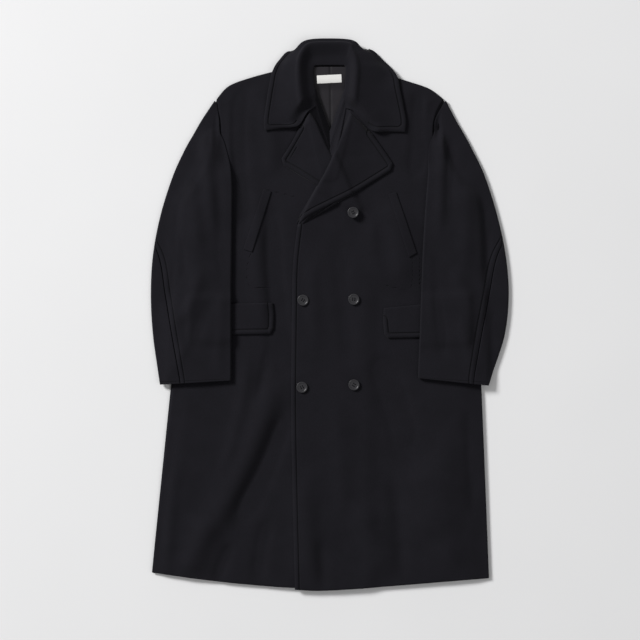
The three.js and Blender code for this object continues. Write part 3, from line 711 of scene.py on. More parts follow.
def rim_places(count: int, width: float, wall: float) -> tuple[Array, Array]:
    """Places across a sheet, closer at both edges, and the share of the wall there.

    Args:
        count: The number of even places between the rims.
        width: The sheet's rough width.
        wall: The cloth's wall.

    Returns:
        The places from 0 to 1, and the wall's share at each, for a rounded rim.
    """
    depths = np.array([0.0, 0.08, 0.3, 0.62, 1.0]) * wall / 2
    places = np.concatenate([depths / width, np.linspace(2.6 * wall / width, 1 - 2.6 * wall / width, count),
                             1 - depths[::-1] / width])
    inside = np.minimum(places, 1 - places) * width
    share = np.sqrt(1 - (1 - np.clip(inside / (wall / 2), 0, 1)) ** 2)
    return places, np.maximum(share, 0.12)


@dataclass
class Sleeve:
    """A sleeve in two pieces, top and under, laid flat over the coat's side."""

    side: Side
    rings: int = 118
    turns: int = 62
    clearance: float = 0.9
    wall: float = WALL["sleeve"]
    rough_length: float = 620.0
    rough_width: float = 165.0
    cuff_line: float = 610.0
    cuff_hem: float = 38.0
    turn_width: float = 200.0
    unstitched_head: float = 0.35
    head_from: tuple[float, float] = (285, 325)
    head_to: tuple[float, float] = (405, 430)
    head_across: tuple[float, float] = (0.66, 0.98)
    head_lift: float = 1.1
    armhole_from: tuple[float, float] = (262, 300)
    armhole_skip: float = 0.34
    seam_gap: float = 0.003

    def sections(self) -> tuple[dict[str, Array], Array]:
        """The sleeve's table on fine sections, and the wall's share along it for the cuff's rim."""
        rows = SLEEVE[self.side.value]
        places, share = rim_places(self.rings, self.rough_length, self.wall)
        columns = {key: hermite(np.array([row[key] for row in rows], dtype=float),
                                places)[:, None] for key in rows[0]}
        columns["fold"] = np.clip(columns["fold"], 0, 1)
        return columns, share

    def bed(self, pile: Pile, x: Array, y: Array) -> Array:
        """The height of what the sleeve lies on, clear of it."""
        lifted = pile.at(pile.sleeve_bed, x, y) * (1 - smoothstep(372, 396, y))
        return lifted + self.clearance * smoothstep(0, 2, lifted)

    def wall_points(self, pile: Pile, part: dict[str, Array], turn: Array, share: Array) -> list[Array]:
        """The outer and the inner face of the wall at each turn of each section.

        Args:
            pile: What the sleeve lies on.
            part: The sections' columns.
            turn: Turns round the section, 0 at the outer edge and 1 at the inner one.
            share: The share of the wall's thickness at each point.

        Returns:
            Two sheets of points.
        """
        width = np.hypot(part["ix"] - part["ox"], part["iy"] - part["oy"])
        upper = (turn < 1) | (turn >= 2)
        near = np.where(upper, np.mod(turn + 0.5, 2) - 0.5, 2 - turn)
        near = np.abs(near)
        side = np.where(upper & (np.mod(turn + 0.5, 2) - 0.5 >= 0), 1.0, -1.0)
        arc = self.wall + FOLD_HOLLOW / 2
        outer_arc = np.minimum(arc, width / 3) + 0 * near
        inner_arc = np.minimum(np.maximum(0.02, part["fold"]) * arc, width / 3) + 0 * near
        flat = (near - ARC_SHARE) / (1 - 2 * ARC_SHARE)
        depth = outer_arc + np.clip(flat, 0, 1) * (width - inner_arc - outer_arc)
        angle = np.where(near < ARC_SHARE, near / ARC_SHARE,
                         np.where(near > 1 - ARC_SHARE, (1 - near) / ARC_SHARE, 1))
        angle = np.clip(angle, 0, 1) * math.pi / 2

        def place(d: Array) -> tuple[Array, Array]:
            """The place so far in from the outer edge."""
            return (part["ox"] + (part["ix"] - part["ox"]) * d / width,
                    part["oy"] + (part["iy"] - part["oy"]) * d / width)

        x, y = place(depth)
        across = np.clip(depth / width, 0, 1)
        inner_edge = SEAM + (FOLD_HOLLOW - SEAM) * part["fold"]
        edges = FOLD_HOLLOW + (inner_edge - FOLD_HOLLOW) * across
        swell = np.sin(math.pi * across) ** 0.7
        hollow = edges + (SLEEVE_HOLLOW - FOLD_HOLLOW) * swell * smoothstep(30, 90, width)
        core = self.bed(pile, x, y) + self.wall + hollow / 2
        relief = SLEEVE_FOLD_DEPTH * fold_height(SLEEVE_FOLDS, x, y)
        for row in SLEEVE_RIPPLES:
            relief = relief + row["height"] * ripple(x, y, row["size"], row["seed"])
        relief = np.maximum(relief, -2.6) * swell * smoothstep(20, 80, width)
        relief = np.where(side > 0, relief, 0)
        at_head = smoothstep(*self.head_from,
                             y) * (1 - smoothstep(*self.head_to, y)) * smoothstep(*self.head_across, across)
        at_head = at_head * (side > 0)
        seat = pile.at(pile.top, x, y)
        in_arc = angle < math.pi / 2 - 1e-6
        direction = np.where(near < 0.5, -1.0, 1.0)
        arc_here = np.where(near < 0.5, outer_arc, inner_arc)
        sheets = []
        middle = (hollow + self.wall) / 2
        for offset in (self.wall / 2, -self.wall / 2):
            radius = middle + offset * share
            reach = radius * arc_here / (self.wall + hollow / 2)
            d = np.where(in_arc, depth + direction * reach * np.cos(angle), depth)
            px, py = place(d)
            pz = core + side * radius * np.sin(angle) + relief
            pz = pz + at_head * (seat + self.head_lift + offset * share * 0.5 - pz)
            sheets.append(np.stack([px, py, np.maximum(pz, 0)], axis=-1))
        return sheets

    def piece(self, pile: Pile, name: str, start: Array, end: Array, part: dict[str, Array],
              rim: Array) -> bpy.types.Object:
        """One piece of the sleeve between two turns, with rounded rims.

        Args:
            pile: What the sleeve lies on.
            name: The piece's name, top or under; only the top one is stitched along its back seam.
            start: The turn where each section of it starts.
            end: The turn where it ends.
            part: The sections' columns.
            rim: The wall's share at each section.

        Returns:
            The piece.
        """
        places, share = rim_places(self.turns, self.rough_width, self.wall)
        turn = start + (end - start) * places[None, :]
        sheets = self.wall_points(pile, part, turn, np.minimum(share[None, :], rim[:, None]))
        points, faces = shell_of(sheets)
        length = np.linspace(0, 1, len(rim))[:, None] + 0 * turn
        cuff = (1 - length) * self.cuff_line
        if name == "top":
            back_seam = (turn - start) * self.turn_width
        else:
            back_seam = np.full(turn.shape, FAR_FROM_STITCHES)
        # This distance places the topstitched groove and the painted shade that the melton finish lays
        # along it.
        groove_and_painted_shade = np.minimum(np.abs(cuff - self.cuff_hem) + STITCH_INSET,
                            back_seam + 100 * (length < self.unstitched_head))
        values = np.concatenate([groove_and_painted_shade.ravel()] * 2)
        return Piece.from_arrays(f"{name}_sleeve_{self.side.value}_cloth", points,
                                 outward(points, faces).tolist(), {"edge": values})

    def seams(self, part: dict[str, Array]) -> list[tuple[Array, Array]]:
        """Where the top and the under sleeve start and end, in turns round each section."""
        width = np.hypot(part["ix"] - part["ox"], part["iy"] - part["oy"])
        gap = 1.6 * SEAM / width + self.seam_gap
        front_seam = (1 - ARC_SHARE) + (FRONT_SEAM - 1 + ARC_SHARE) * part["fold"]
        under_start = (1 + ARC_SHARE) + (FRONT_SEAM + gap - 1 - ARC_SHARE) * part["fold"]
        under_start = under_start + self.armhole_skip * smoothstep(*self.armhole_from, part["iy"])
        return [(part["seam"], front_seam), (under_start, 2 + part["seam"] - gap)]

    def build(self, pile: Pile) -> list[bpy.types.Object]:
        """Makes the top sleeve and the under sleeve."""
        part, rim = self.sections()
        return [self.piece(pile, name, start, end, part, rim)
                for name, (start, end) in zip(("top", "under"), self.seams(part))]

    def cuts(self) -> list[tuple[float, float, float]]:
        """The flat width, length and area of the top and the under sleeve, from the section table.

        Returns:
            Metres and square metres: the widest girth between the seams, the sleeve's middle line, and
            the girth summed along that line.
        """
        part, _ = self.sections()
        width = np.hypot(part["ix"] - part["ox"], part["iy"] - part["oy"])[:, 0]
        middle = np.stack([(part["ox"] + part["ix"])[:, 0], (part["oy"] + part["iy"])[:, 0]], axis=1) / 2
        steps = np.hypot(*np.diff(middle, axis=0).T) * MM
        cuts = []
        for start, end in self.seams(part):
            girth = (end - start)[:, 0] * width * MM
            cuts.append((float(girth.max()), float(steps.sum()),
                         float(np.sum(steps * (girth[1:] + girth[:-1]) / 2))))
        return cuts


@dataclass
class Collar:
    """The collar: a stand that rises from the neck seam, a roll, and a leaf that lies over the fronts."""

    stations: int = 190
    samples: int = 72
    wall: float = WALL["collar"]
    clearance: float = 0.8
    sunk_seam: float = 2.4
    hollow: float = 3.6
    crest: float = 1.2
    gorge: float = 27.0
    rough_length: float = 520.0
    rough_width: float = 125.0
    crown_drop: float = 4.0
    least_crown: float = 0.15
    leaf_bow: float = 2.5

    def spine(self, pile: Pile, places: Array, along: Array) -> Array:
        """The middle of the wall: a row of points from neck seam to outer edge at each station."""
        keys = list(COLLAR[0])
        values = hermite(np.array([[row[key] for key in keys] for row in COLLAR], dtype=float), places)
        part = dict(zip(keys, values.T))
        under = np.clip(part["under"], 0, 1)
        half = self.wall / 2

        def rest(x: Array, y: Array) -> Array:
            """The height of the leaf's middle where it lies."""
            return (1 - under) * (pile.at(pile.collar_bed, x, y) + self.clearance) + half

        half_x, half_y = (part["mx"] + part["ox"]) / 2, (part["my"] + part["oy"]) / 2
        rest_m = rest(part["mx"], part["my"]) + self.leaf_bow
        crown = rest_m + (part["rz"] - self.crown_drop - rest_m) * np.maximum(under, self.least_crown)
        points = [
            (part["nx"], part["ny"], part["nz"] - self.sunk_seam + half / 2),
            (0.55 * part["nx"] + 0.45 * part["rx"], 0.55 * part["ny"] + 0.45 * part["ry"],
             (part["nz"] + part["rz"]) / 2 - self.hollow),
            (part["rx"], part["ry"], part["rz"] + self.crest),
            (0.75 * part["rx"] + 0.25 * part["mx"], 0.75 * part["ry"] + 0.25 * part["my"],
             part["rz"] - 0.3 + 0.25 * (crown - part["rz"])),
            (part["mx"], part["my"], crown),
            (half_x, half_y, rest(half_x, half_y)),
            (part["ox"], part["oy"], rest(part["ox"], part["oy"])),
        ]
        controls = np.stack([np.stack(point, axis=-1) for point in points], axis=1)
        return self.centripetal(controls, along)

    @staticmethod
    def centripetal(controls: Array, along: Array) -> Array:
        """Smooth curves through rows of control points, evened by the distance between them."""
        first = 2 * controls[:, :1] - controls[:, 1:2]
        last = 2 * controls[:, -1:] - controls[:, -2:-1]
        padded = np.concatenate([first, controls, last], axis=1)
        gaps = np.maximum(np.linalg.norm(np.diff(padded, axis=1), axis=2) ** 0.5, 1e-3)
        spans = controls.shape[1] - 1
        curves = []
        for place in along * spans:
            i = min(int(place), spans - 1)
            t = place - i
            a, b, c, d = (padded[:, i + k] for k in range(4))
            ga, gb, gc = (gaps[:, i + k, None] for k in range(3))
            m0 = ((b - a) / ga - (c - a) / (ga + gb) + (c - b) / gb) * gb
            m1 = ((c - b) / gb - (d - b) / (gb + gc) + (d - c) / gc) * gb
            curves.append((2 * b - 2 * c + m0 + m1) * t**3 + (3 * c - 3 * b - 2 * m0 - m1) * t**2
                          + m0 * t + b)
        return np.stack(curves, axis=1)

    def build(self, pile: Pile) -> bpy.types.Object:
        """Makes the collar as one shell with rounded rims."""
        places, rim_a = rim_places(self.stations, self.rough_length, self.wall)
        along, rim_b = rim_places(self.samples, self.rough_width, self.wall)
        middle = self.spine(pile, places, along)
        down, across = np.gradient(middle, axis=0), np.gradient(middle, axis=1)
        normal = np.cross(down, across)
        normal /= np.maximum(np.linalg.norm(normal, axis=2, keepdims=True), 1e-9)
        ends = np.minimum(np.linalg.norm(middle - middle[:1], axis=2),
                          np.linalg.norm(middle - middle[-1:], axis=2))
        sunk = (1 - smoothstep(0, self.gorge, ends)) * (1 - smoothstep(0.61, 0.73, along))[None, :]
        seat = pile.at(pile.top, middle[..., 0], middle[..., 1]) + 0.9
        middle[..., 2] += sunk * np.minimum(0, seat - middle[..., 2])
        share = (np.minimum(rim_a[:, None], rim_b[None, :]) * (1 - 0.65 * sunk))[..., None]
        leaf = smoothstep(0.5, 0.7, along)[None, :, None]
        uneven = (0.3 * ripple(middle[..., 0], middle[..., 1], 38, 31))[..., None] * leaf
        sheets = [middle + normal * (self.wall / 2 * share * way) + np.array([0, 0, 1]) * uneven
                  for way in (1, -1)]
        for sheet in sheets:
            sheet[..., 2] = np.maximum(sheet[..., 2], 0)
        points, faces = shell_of(sheets)
        from_edge = np.linalg.norm(middle - middle[:, -1:], axis=2)
        # The edge distance places the stitched groove and the painted shade that the melton finish lays
        # along it.
        edge = np.minimum(from_edge, ends + 400 * (along[None, :] < 0.6))
        obj = Piece.from_arrays("collar_cloth", points, outward(points, faces).tolist(),
                                {"edge": np.concatenate([edge.ravel()] * 2)})
        area = float(np.sum(np.linalg.norm(np.cross(down, across), axis=2))) * MM * MM
        width = float(np.linalg.norm(np.diff(middle, axis=1), axis=2).sum(axis=1).max()) * MM
        length = float(np.linalg.norm(np.diff(middle, axis=0), axis=2).sum(axis=0).max()) * MM
        self.cut = (width, length, area)
        return obj


class Wire:
    """A value in a finish's node tree; sums and products of values add Math nodes."""

    def __init__(self, finish: "Shader", socket: bpy.types.NodeSocket) -> None:
        """Holds the socket that gives the value."""
        self.finish = finish
        self.socket = socket

    def maths(self, operation: str, first: object, second: object = 0.0) -> "Wire":
        """One Math node on two values."""
        return self.finish.node("ShaderNodeMath", {"operation": operation}, {0: first, 1: second})

    def __add__(self, other: object) -> "Wire":
        """Their sum."""
        return self.maths("ADD", self, other)

    __radd__ = __add__

    def __sub__(self, other: object) -> "Wire":
        """Their difference."""
        return self.maths("SUBTRACT", self, other)

    def __rsub__(self, other: object) -> "Wire":
        """The other less this."""
        return self.maths("SUBTRACT", other, self)

    def __mul__(self, other: object) -> "Wire":
        """Their product."""
        return self.maths("MULTIPLY", self, other)

    __rmul__ = __mul__

    def __truediv__(self, other: object) -> "Wire":
        """Their quotient."""
        return self.maths("DIVIDE", self, other)

    def bell(self, centre: float, width: float) -> "Wire":
        """A bump of height 1 round a value, so wide."""
        off = (self - centre) / width
        return self.maths("EXPONENT", off * off * -1.0)


class Shader:
    """A material's node tree, written from its surface back."""

    def __init__(self, name: str) -> None:
        """Makes a material with only its Principled shader and its output."""
        self.material = bpy.data.materials.new(name)
        self.material.use_nodes = True
        self.tree = self.material.node_tree
        self.surface = next(node for node in self.tree.nodes if node.type == "BSDF_PRINCIPLED")

    def node(self, kind: str, settings: dict[str, object], inputs: dict[object, object],
             output: object = 0) -> Wire:
        """Adds a node.

        Args:
            kind: The node's type.
            settings: Its settings, set first; a ramp's stops are under "stops".
            inputs: Values or wires for its sockets, by name or number.
            output: The output that is wanted.

        Returns:
            The wire of that output.
        """
        made = self.tree.nodes.new(kind)
        for key, value in settings.items():
            if key == "stops":
                for element, (place, colour) in zip(made.color_ramp.elements, value):
                    element.position, element.color = place, colour
            else:
                setattr(made, key, value)
        for key, value in inputs.items():
            self.plug(made.inputs[key], value)
        return Wire(self, made.outputs[output])

    def plug(self, socket: bpy.types.NodeSocket, value: object) -> None:
        """Gives a socket a wire or a constant."""
        if isinstance(value, Wire):
            self.tree.links.new(value.socket, socket)
        else:
            socket.default_value = value

    def place(self) -> Wire:
        """The object's own coordinates, in metres."""
        return self.node("ShaderNodeTexCoord", {}, {}, "Object")

    def attribute(self, name: str) -> Wire:
        """A point attribute of the mesh."""
        return self.node("ShaderNodeAttribute", {"attribute_name": name}, {}, "Fac")

    def noise(self, scale: float, detail: float = 3.0,
              stretch: tuple[float, float, float] = (1, 1, 1)) -> Wire:
        """Noise from 0 to 1, with features about 1/scale metres across."""
        vector = self.node("ShaderNodeMapping", {}, {"Vector": self.place(), "Scale": stretch})
        return self.node("ShaderNodeTexNoise", {}, {"Vector": vector, "Scale": scale, "Detail": detail},
                         "Fac")

    def blend(self, factor: Wire, first: tuple, second: tuple) -> Wire:
        """A colour between two, by a factor."""
        made = self.node("ShaderNodeMix", {"data_type": "RGBA"},
                         {0: factor, 6: (*first, 1), 7: (*second, 1)}, 2)
        return made

    def bump(self, height: Wire, depth: float, strength: float = 1.0) -> None:
        """Raises the surface by a height from 0 to 1, so many metres deep."""
        normal = self.node("ShaderNodeBump", {},
                           {"Strength": strength, "Distance": depth, "Height": height})
        self.plug(self.surface.inputs["Normal"], normal)

    def set(self, **values: object) -> None:
        """Sets the Principled shader's sockets, by name with _ for a space."""
        for key, value in values.items():
            self.plug(self.surface.inputs[key.replace("_", " ")], value)


@dataclass(frozen=True)
class Melton:
    """Near-black felted wool: a matt nap with short fibres, and a pressed groove along topstitching, with
    painted shade darkening its colour there.
    """

    dark: tuple[float, float, float] = (0.0036, 0.0035, 0.0047)
    light: tuple[float, float, float] = (0.0128, 0.0120, 0.0163)
    stitch_inset: float = STITCH_INSET

    def material(self) -> bpy.types.Material:
        """Builds the finish."""
        shader = Shader("melton")
        fibres = shader.noise(1500, 5, (1, 0.45, 1))
        tufts = shader.noise(420, 3)
        clouds = shader.noise(26, 2)
        groove_and_painted_shade = shader.attribute("edge").bell(self.stitch_inset, 1.3)
        # The groove mask also darkens the colour: painted shade along the topstitched groove, besides its
        # bump.
        tone = fibres * 0.45 + tufts * 0.35 + clouds * 0.3 - 0.05 - groove_and_painted_shade * 0.35
        shader.set(Base_Color=shader.blend(tone, self.dark, self.light), Roughness=0.93, Sheen_Weight=0.035,
                   Sheen_Roughness=0.5, Specular_IOR_Level=0.1)
        ridge = shader.attribute("edge").bell(self.stitch_inset - 5.0, 3.0)
        shader.bump(fibres * 0.3 + tufts * 0.4 - groove_and_painted_shade * 2.4 + ridge * 0.8, 0.0007, 0.9)
        return shader.material


@dataclass(frozen=True)
class Satin:
    """Dark plum-grey satin lining with fine cross threads, and painted shade along its centre seam."""

    dark: tuple[float, float, float] = (0.0085, 0.0075, 0.0097)
    light: tuple[float, float, float] = (0.019, 0.0168, 0.0208)

    def material(self) -> bpy.types.Material:
        """Builds the finish."""
        shader = Shader("satin")
        threads = shader.noise(900, 2, (6, 0.5, 1))
        clouds = shader.noise(40, 2)
        seam = shader.attribute("edge").bell(0.0, 2.6)
        # The seam mask darkens the colour: painted shade along the centre seam, besides its bump groove.
        shader.set(Base_Color=shader.blend(threads * 0.5 + clouds * 0.5 - seam * 0.9, self.dark,
                                           self.light), Roughness=0.5,
                   Specular_IOR_Level=0.25)
        shader.bump(threads * 0.12 - seam * 1.2, 0.0006, 0.9)
        return shader.material


@dataclass(frozen=True)
class Tape:
    """Bare white woven tape."""

    dark: tuple[float, float, float] = (0.66, 0.65, 0.63)
    light: tuple[float, float, float] = (0.82, 0.81, 0.79)

    def material(self) -> bpy.types.Material:
        """Builds the finish."""
        shader = Shader("tape")
        warp = shader.noise(1400, 1, (5, 0.4, 1))
        weft = shader.noise(1400, 1, (0.4, 5, 1))
        shader.set(Base_Color=shader.blend(warp * 0.5 + weft * 0.5, self.dark, self.light), Roughness=0.7)
        shader.bump(warp * 0.5 + weft * 0.5, 0.00015, 0.6)
        return shader.material


@dataclass(frozen=True)
class Horn:
    """Dark grey polished horn, streaked."""

    dark: tuple[float, float, float] = (0.007, 0.007, 0.009)
    light: tuple[float, float, float] = (0.032, 0.031, 0.035)

    def material(self) -> bpy.types.Material:
        """Builds the finish."""
        shader = Shader("horn")
        streaks = shader.noise(190, 4, (1, 3.2, 1))
        shader.set(Base_Color=shader.blend(streaks, self.dark, self.light), Roughness=streaks * 0.2 + 0.26,
                   Specular_IOR_Level=0.5)
        shader.bump(streaks, 0.00006, 0.5)
        return shader.material


@dataclass(frozen=True)
class Thread:
    """Twisted black sewing thread."""

    dark: tuple[float, float, float] = (0.004, 0.004, 0.005)
    light: tuple[float, float, float] = (0.010, 0.010, 0.012)

    def material(self) -> bpy.types.Material:
        """Builds the finish."""
        shader = Shader("thread")
        twist = shader.noise(2600, 2)
        shader.set(Base_Color=shader.blend(twist, self.dark, self.light), Roughness=0.85,
                   Specular_IOR_Level=0.1)
        shader.bump(twist, 0.0001, 0.6)
        return shader.material


@dataclass(frozen=True)
class Backdrop:
    """Plain pale paper under the coat."""

    dark: tuple[float, float, float] = (0.76, 0.76, 0.765)
    light: tuple[float, float, float] = (0.79, 0.79, 0.795)

    def material(self) -> bpy.types.Material:
        """Builds the finish."""
        shader = Shader("backdrop")
        shader.set(Base_Color=shader.blend(shader.noise(3, 2), self.dark, self.light), Roughness=0.9,
                   Specular_IOR_Level=0.1)
        return shader.material


@dataclass
class Stitches:
    """Rows of topstitching as joined short threads, laid on the cloth."""

    name: str
    lines: list[Array]
    pitch: float = 4.0
    length: float = 3.0
    thick: float = 0.62

    def template(self) -> tuple[Array, list]:
        """One stitch along X, modelled from a sphere drawn out at both ends."""
        bpy.ops.object.select_all(action="DESELECT")
        bpy.ops.mesh.primitive_uv_sphere_add(segments=6, ring_count=4, radius=0.5,
                                             rotation=(0, math.pi / 2, 0))
        made = bpy.context.object
        bpy.ops.object.transform_apply(location=True, rotation=True, scale=True)
        points = np.array([list(vertex.co) for vertex in made.data.vertices]) * [self.length, self.thick,
                                                                                 self.thick]
        faces = [list(polygon.vertices) for polygon in made.data.polygons]
        bpy.data.objects.remove(made)
        return points, faces

    def build(self, height: Heights) -> bpy.types.Object:
        """Lays the stitches along the lines.

        Args:
            height: Gives the cloth's height at rows of places.

        Returns:
            The joined stitches.
        """
        shape, faces = self.template()
        points, corners = [], []
        for line in self.lines:
            places = spaced(line, self.pitch)
            middle = (places[1:] + places[:-1]) / 2
            run = np.diff(places, axis=0)
            run /= np.hypot(*run.T)[:, None]
            base = height(middle[:, 0], middle[:, 1])
            ahead = middle + run * self.length / 2
            slope = (height(ahead[:, 0], ahead[:, 1]) - base) / (self.length / 2)
            for (x, y), (dx, dy), z, tilt in zip(middle, run, base, slope):
                start = sum(len(block) for block in points)
                turned = np.stack([x + shape[:, 0] * dx - shape[:, 1] * dy,
                                   y + shape[:, 0] * dy + shape[:, 1] * dx,
                                   z + shape[:, 2] + shape[:, 0] * tilt], axis=1)
                points.append(turned)
                corners.extend([[c + start for c in face] for face in faces])
        return Piece.from_arrays(self.name, np.concatenate(points), corners, {})


def offset_line(line: Array, depth: float, trim: tuple[float, float] = (0, 0)) -> Array:
    """A line moved to its left, with its ends trimmed, for a row of stitches inside an edge."""
    run = np.gradient(line, axis=0)
    run /= np.hypot(*run.T)[:, None]
    moved = line + np.stack([-run[:, 1], run[:, 0]], axis=1) * depth
    lengths = np.concatenate([[0], np.cumsum(np.hypot(*np.diff(moved, axis=0).T))])
    keep = (lengths >= trim[0]) & (lengths <= lengths[-1] - trim[1])
    return moved[keep]


@dataclass
class Button:
    """A four-hole button: a disc with a raised rim, a dished middle and two bars of thread."""

    radius: float = 11.5
    thick: float = 3.6
    rim: float = 2.4
    dish: float = 0.9
    hole: float = 1.15
    hole_place: float = 2.3
    thread: float = 0.8

    def disc(self) -> bpy.types.Object:
        """Models the disc from a cylinder: inset, dished, bevelled and drilled."""
        bpy.ops.object.select_all(action="DESELECT")
        bpy.ops.mesh.primitive_cylinder_add(vertices=56, radius=self.radius * MM, depth=self.thick * MM,
                                            location=(0, 0, self.thick * MM / 2))
        disc = bpy.context.object
        bpy.ops.object.transform_apply(location=True, rotation=True, scale=True)
        bpy.ops.object.mode_set(mode="EDIT")
        bpy.ops.mesh.select_mode(type="FACE")
        bpy.ops.mesh.select_all(action="DESELECT")
        bpy.ops.object.mode_set(mode="OBJECT")
        for polygon in disc.data.polygons:
            polygon.select = polygon.normal.z > 0.9
        bpy.ops.object.mode_set(mode="EDIT")
        bpy.ops.mesh.inset(thickness=self.rim * MM)
        bpy.ops.mesh.inset(thickness=0.7 * MM, depth=-self.dish * MM)
        bpy.ops.object.mode_set(mode="OBJECT")
        bevel = disc.modifiers.new("edges", "BEVEL")
        bevel.width = 0.55 * MM
        bevel.segments = 3
        bevel.limit_method = "ANGLE"
        bevel.angle_limit = math.radians(25)
        bpy.ops.object.modifier_apply(modifier="edges")
        for i, j in ((1, 1), (1, -1), (-1, 1), (-1, -1)):
            bpy.ops.object.select_all(action="DESELECT")
            bpy.ops.mesh.primitive_cylinder_add(vertices=20, radius=self.hole * MM,
                                                depth=3 * self.thick * MM,
                                                location=(i * self.hole_place * MM,
                                                          j * self.hole_place * MM, 0))
            drill = bpy.context.object
            bpy.context.view_layer.objects.active = disc
            cut = disc.modifiers.new("hole", "BOOLEAN")
            cut.object = drill
            cut.solver = "EXACT"
            bpy.ops.object.modifier_apply(modifier="hole")
            bpy.data.objects.remove(drill)
        bpy.ops.object.select_all(action="DESELECT")
        disc.select_set(True)
        bpy.ops.object.shade_smooth_by_angle(angle=math.radians(35))
        return disc

    def bars(self) -> bpy.types.Object:
        """Models the two bars of thread through the holes, from bent tubes."""
        bpy.ops.object.select_all(action="DESELECT")
        made = []
        for j in (1, -1):
            for k in (-0.35, 0.35):
                bpy.ops.mesh.primitive_cylinder_add(
                    vertices=10, radius=self.thread / 2 * MM, depth=2 * self.hole_place * MM,
                    location=(0, (j * self.hole_place + k) * MM, (self.thick - self.dish + 0.3) * MM),
                    rotation=(0, math.pi / 2, 0))
                bar = bpy.context.object
                bpy.ops.object.mode_set(mode="EDIT")
                bpy.ops.mesh.select_all(action="SELECT")
                bpy.ops.mesh.subdivide(number_cuts=3)
                bpy.ops.object.mode_set(mode="OBJECT")
                bpy.ops.object.transform_apply(location=True, rotation=True, scale=True)
                for vertex in bar.data.vertices:
                    vertex.co.z -= 0.9 * MM * (abs(vertex.co.x) / (self.hole_place * MM)) ** 4
                made.append(bar)
        for bar in made:
            bar.select_set(True)
        bpy.context.view_layer.objects.active = made[0]
        bpy.ops.object.join()
        bpy.ops.object.shade_smooth()
        return bpy.context.object


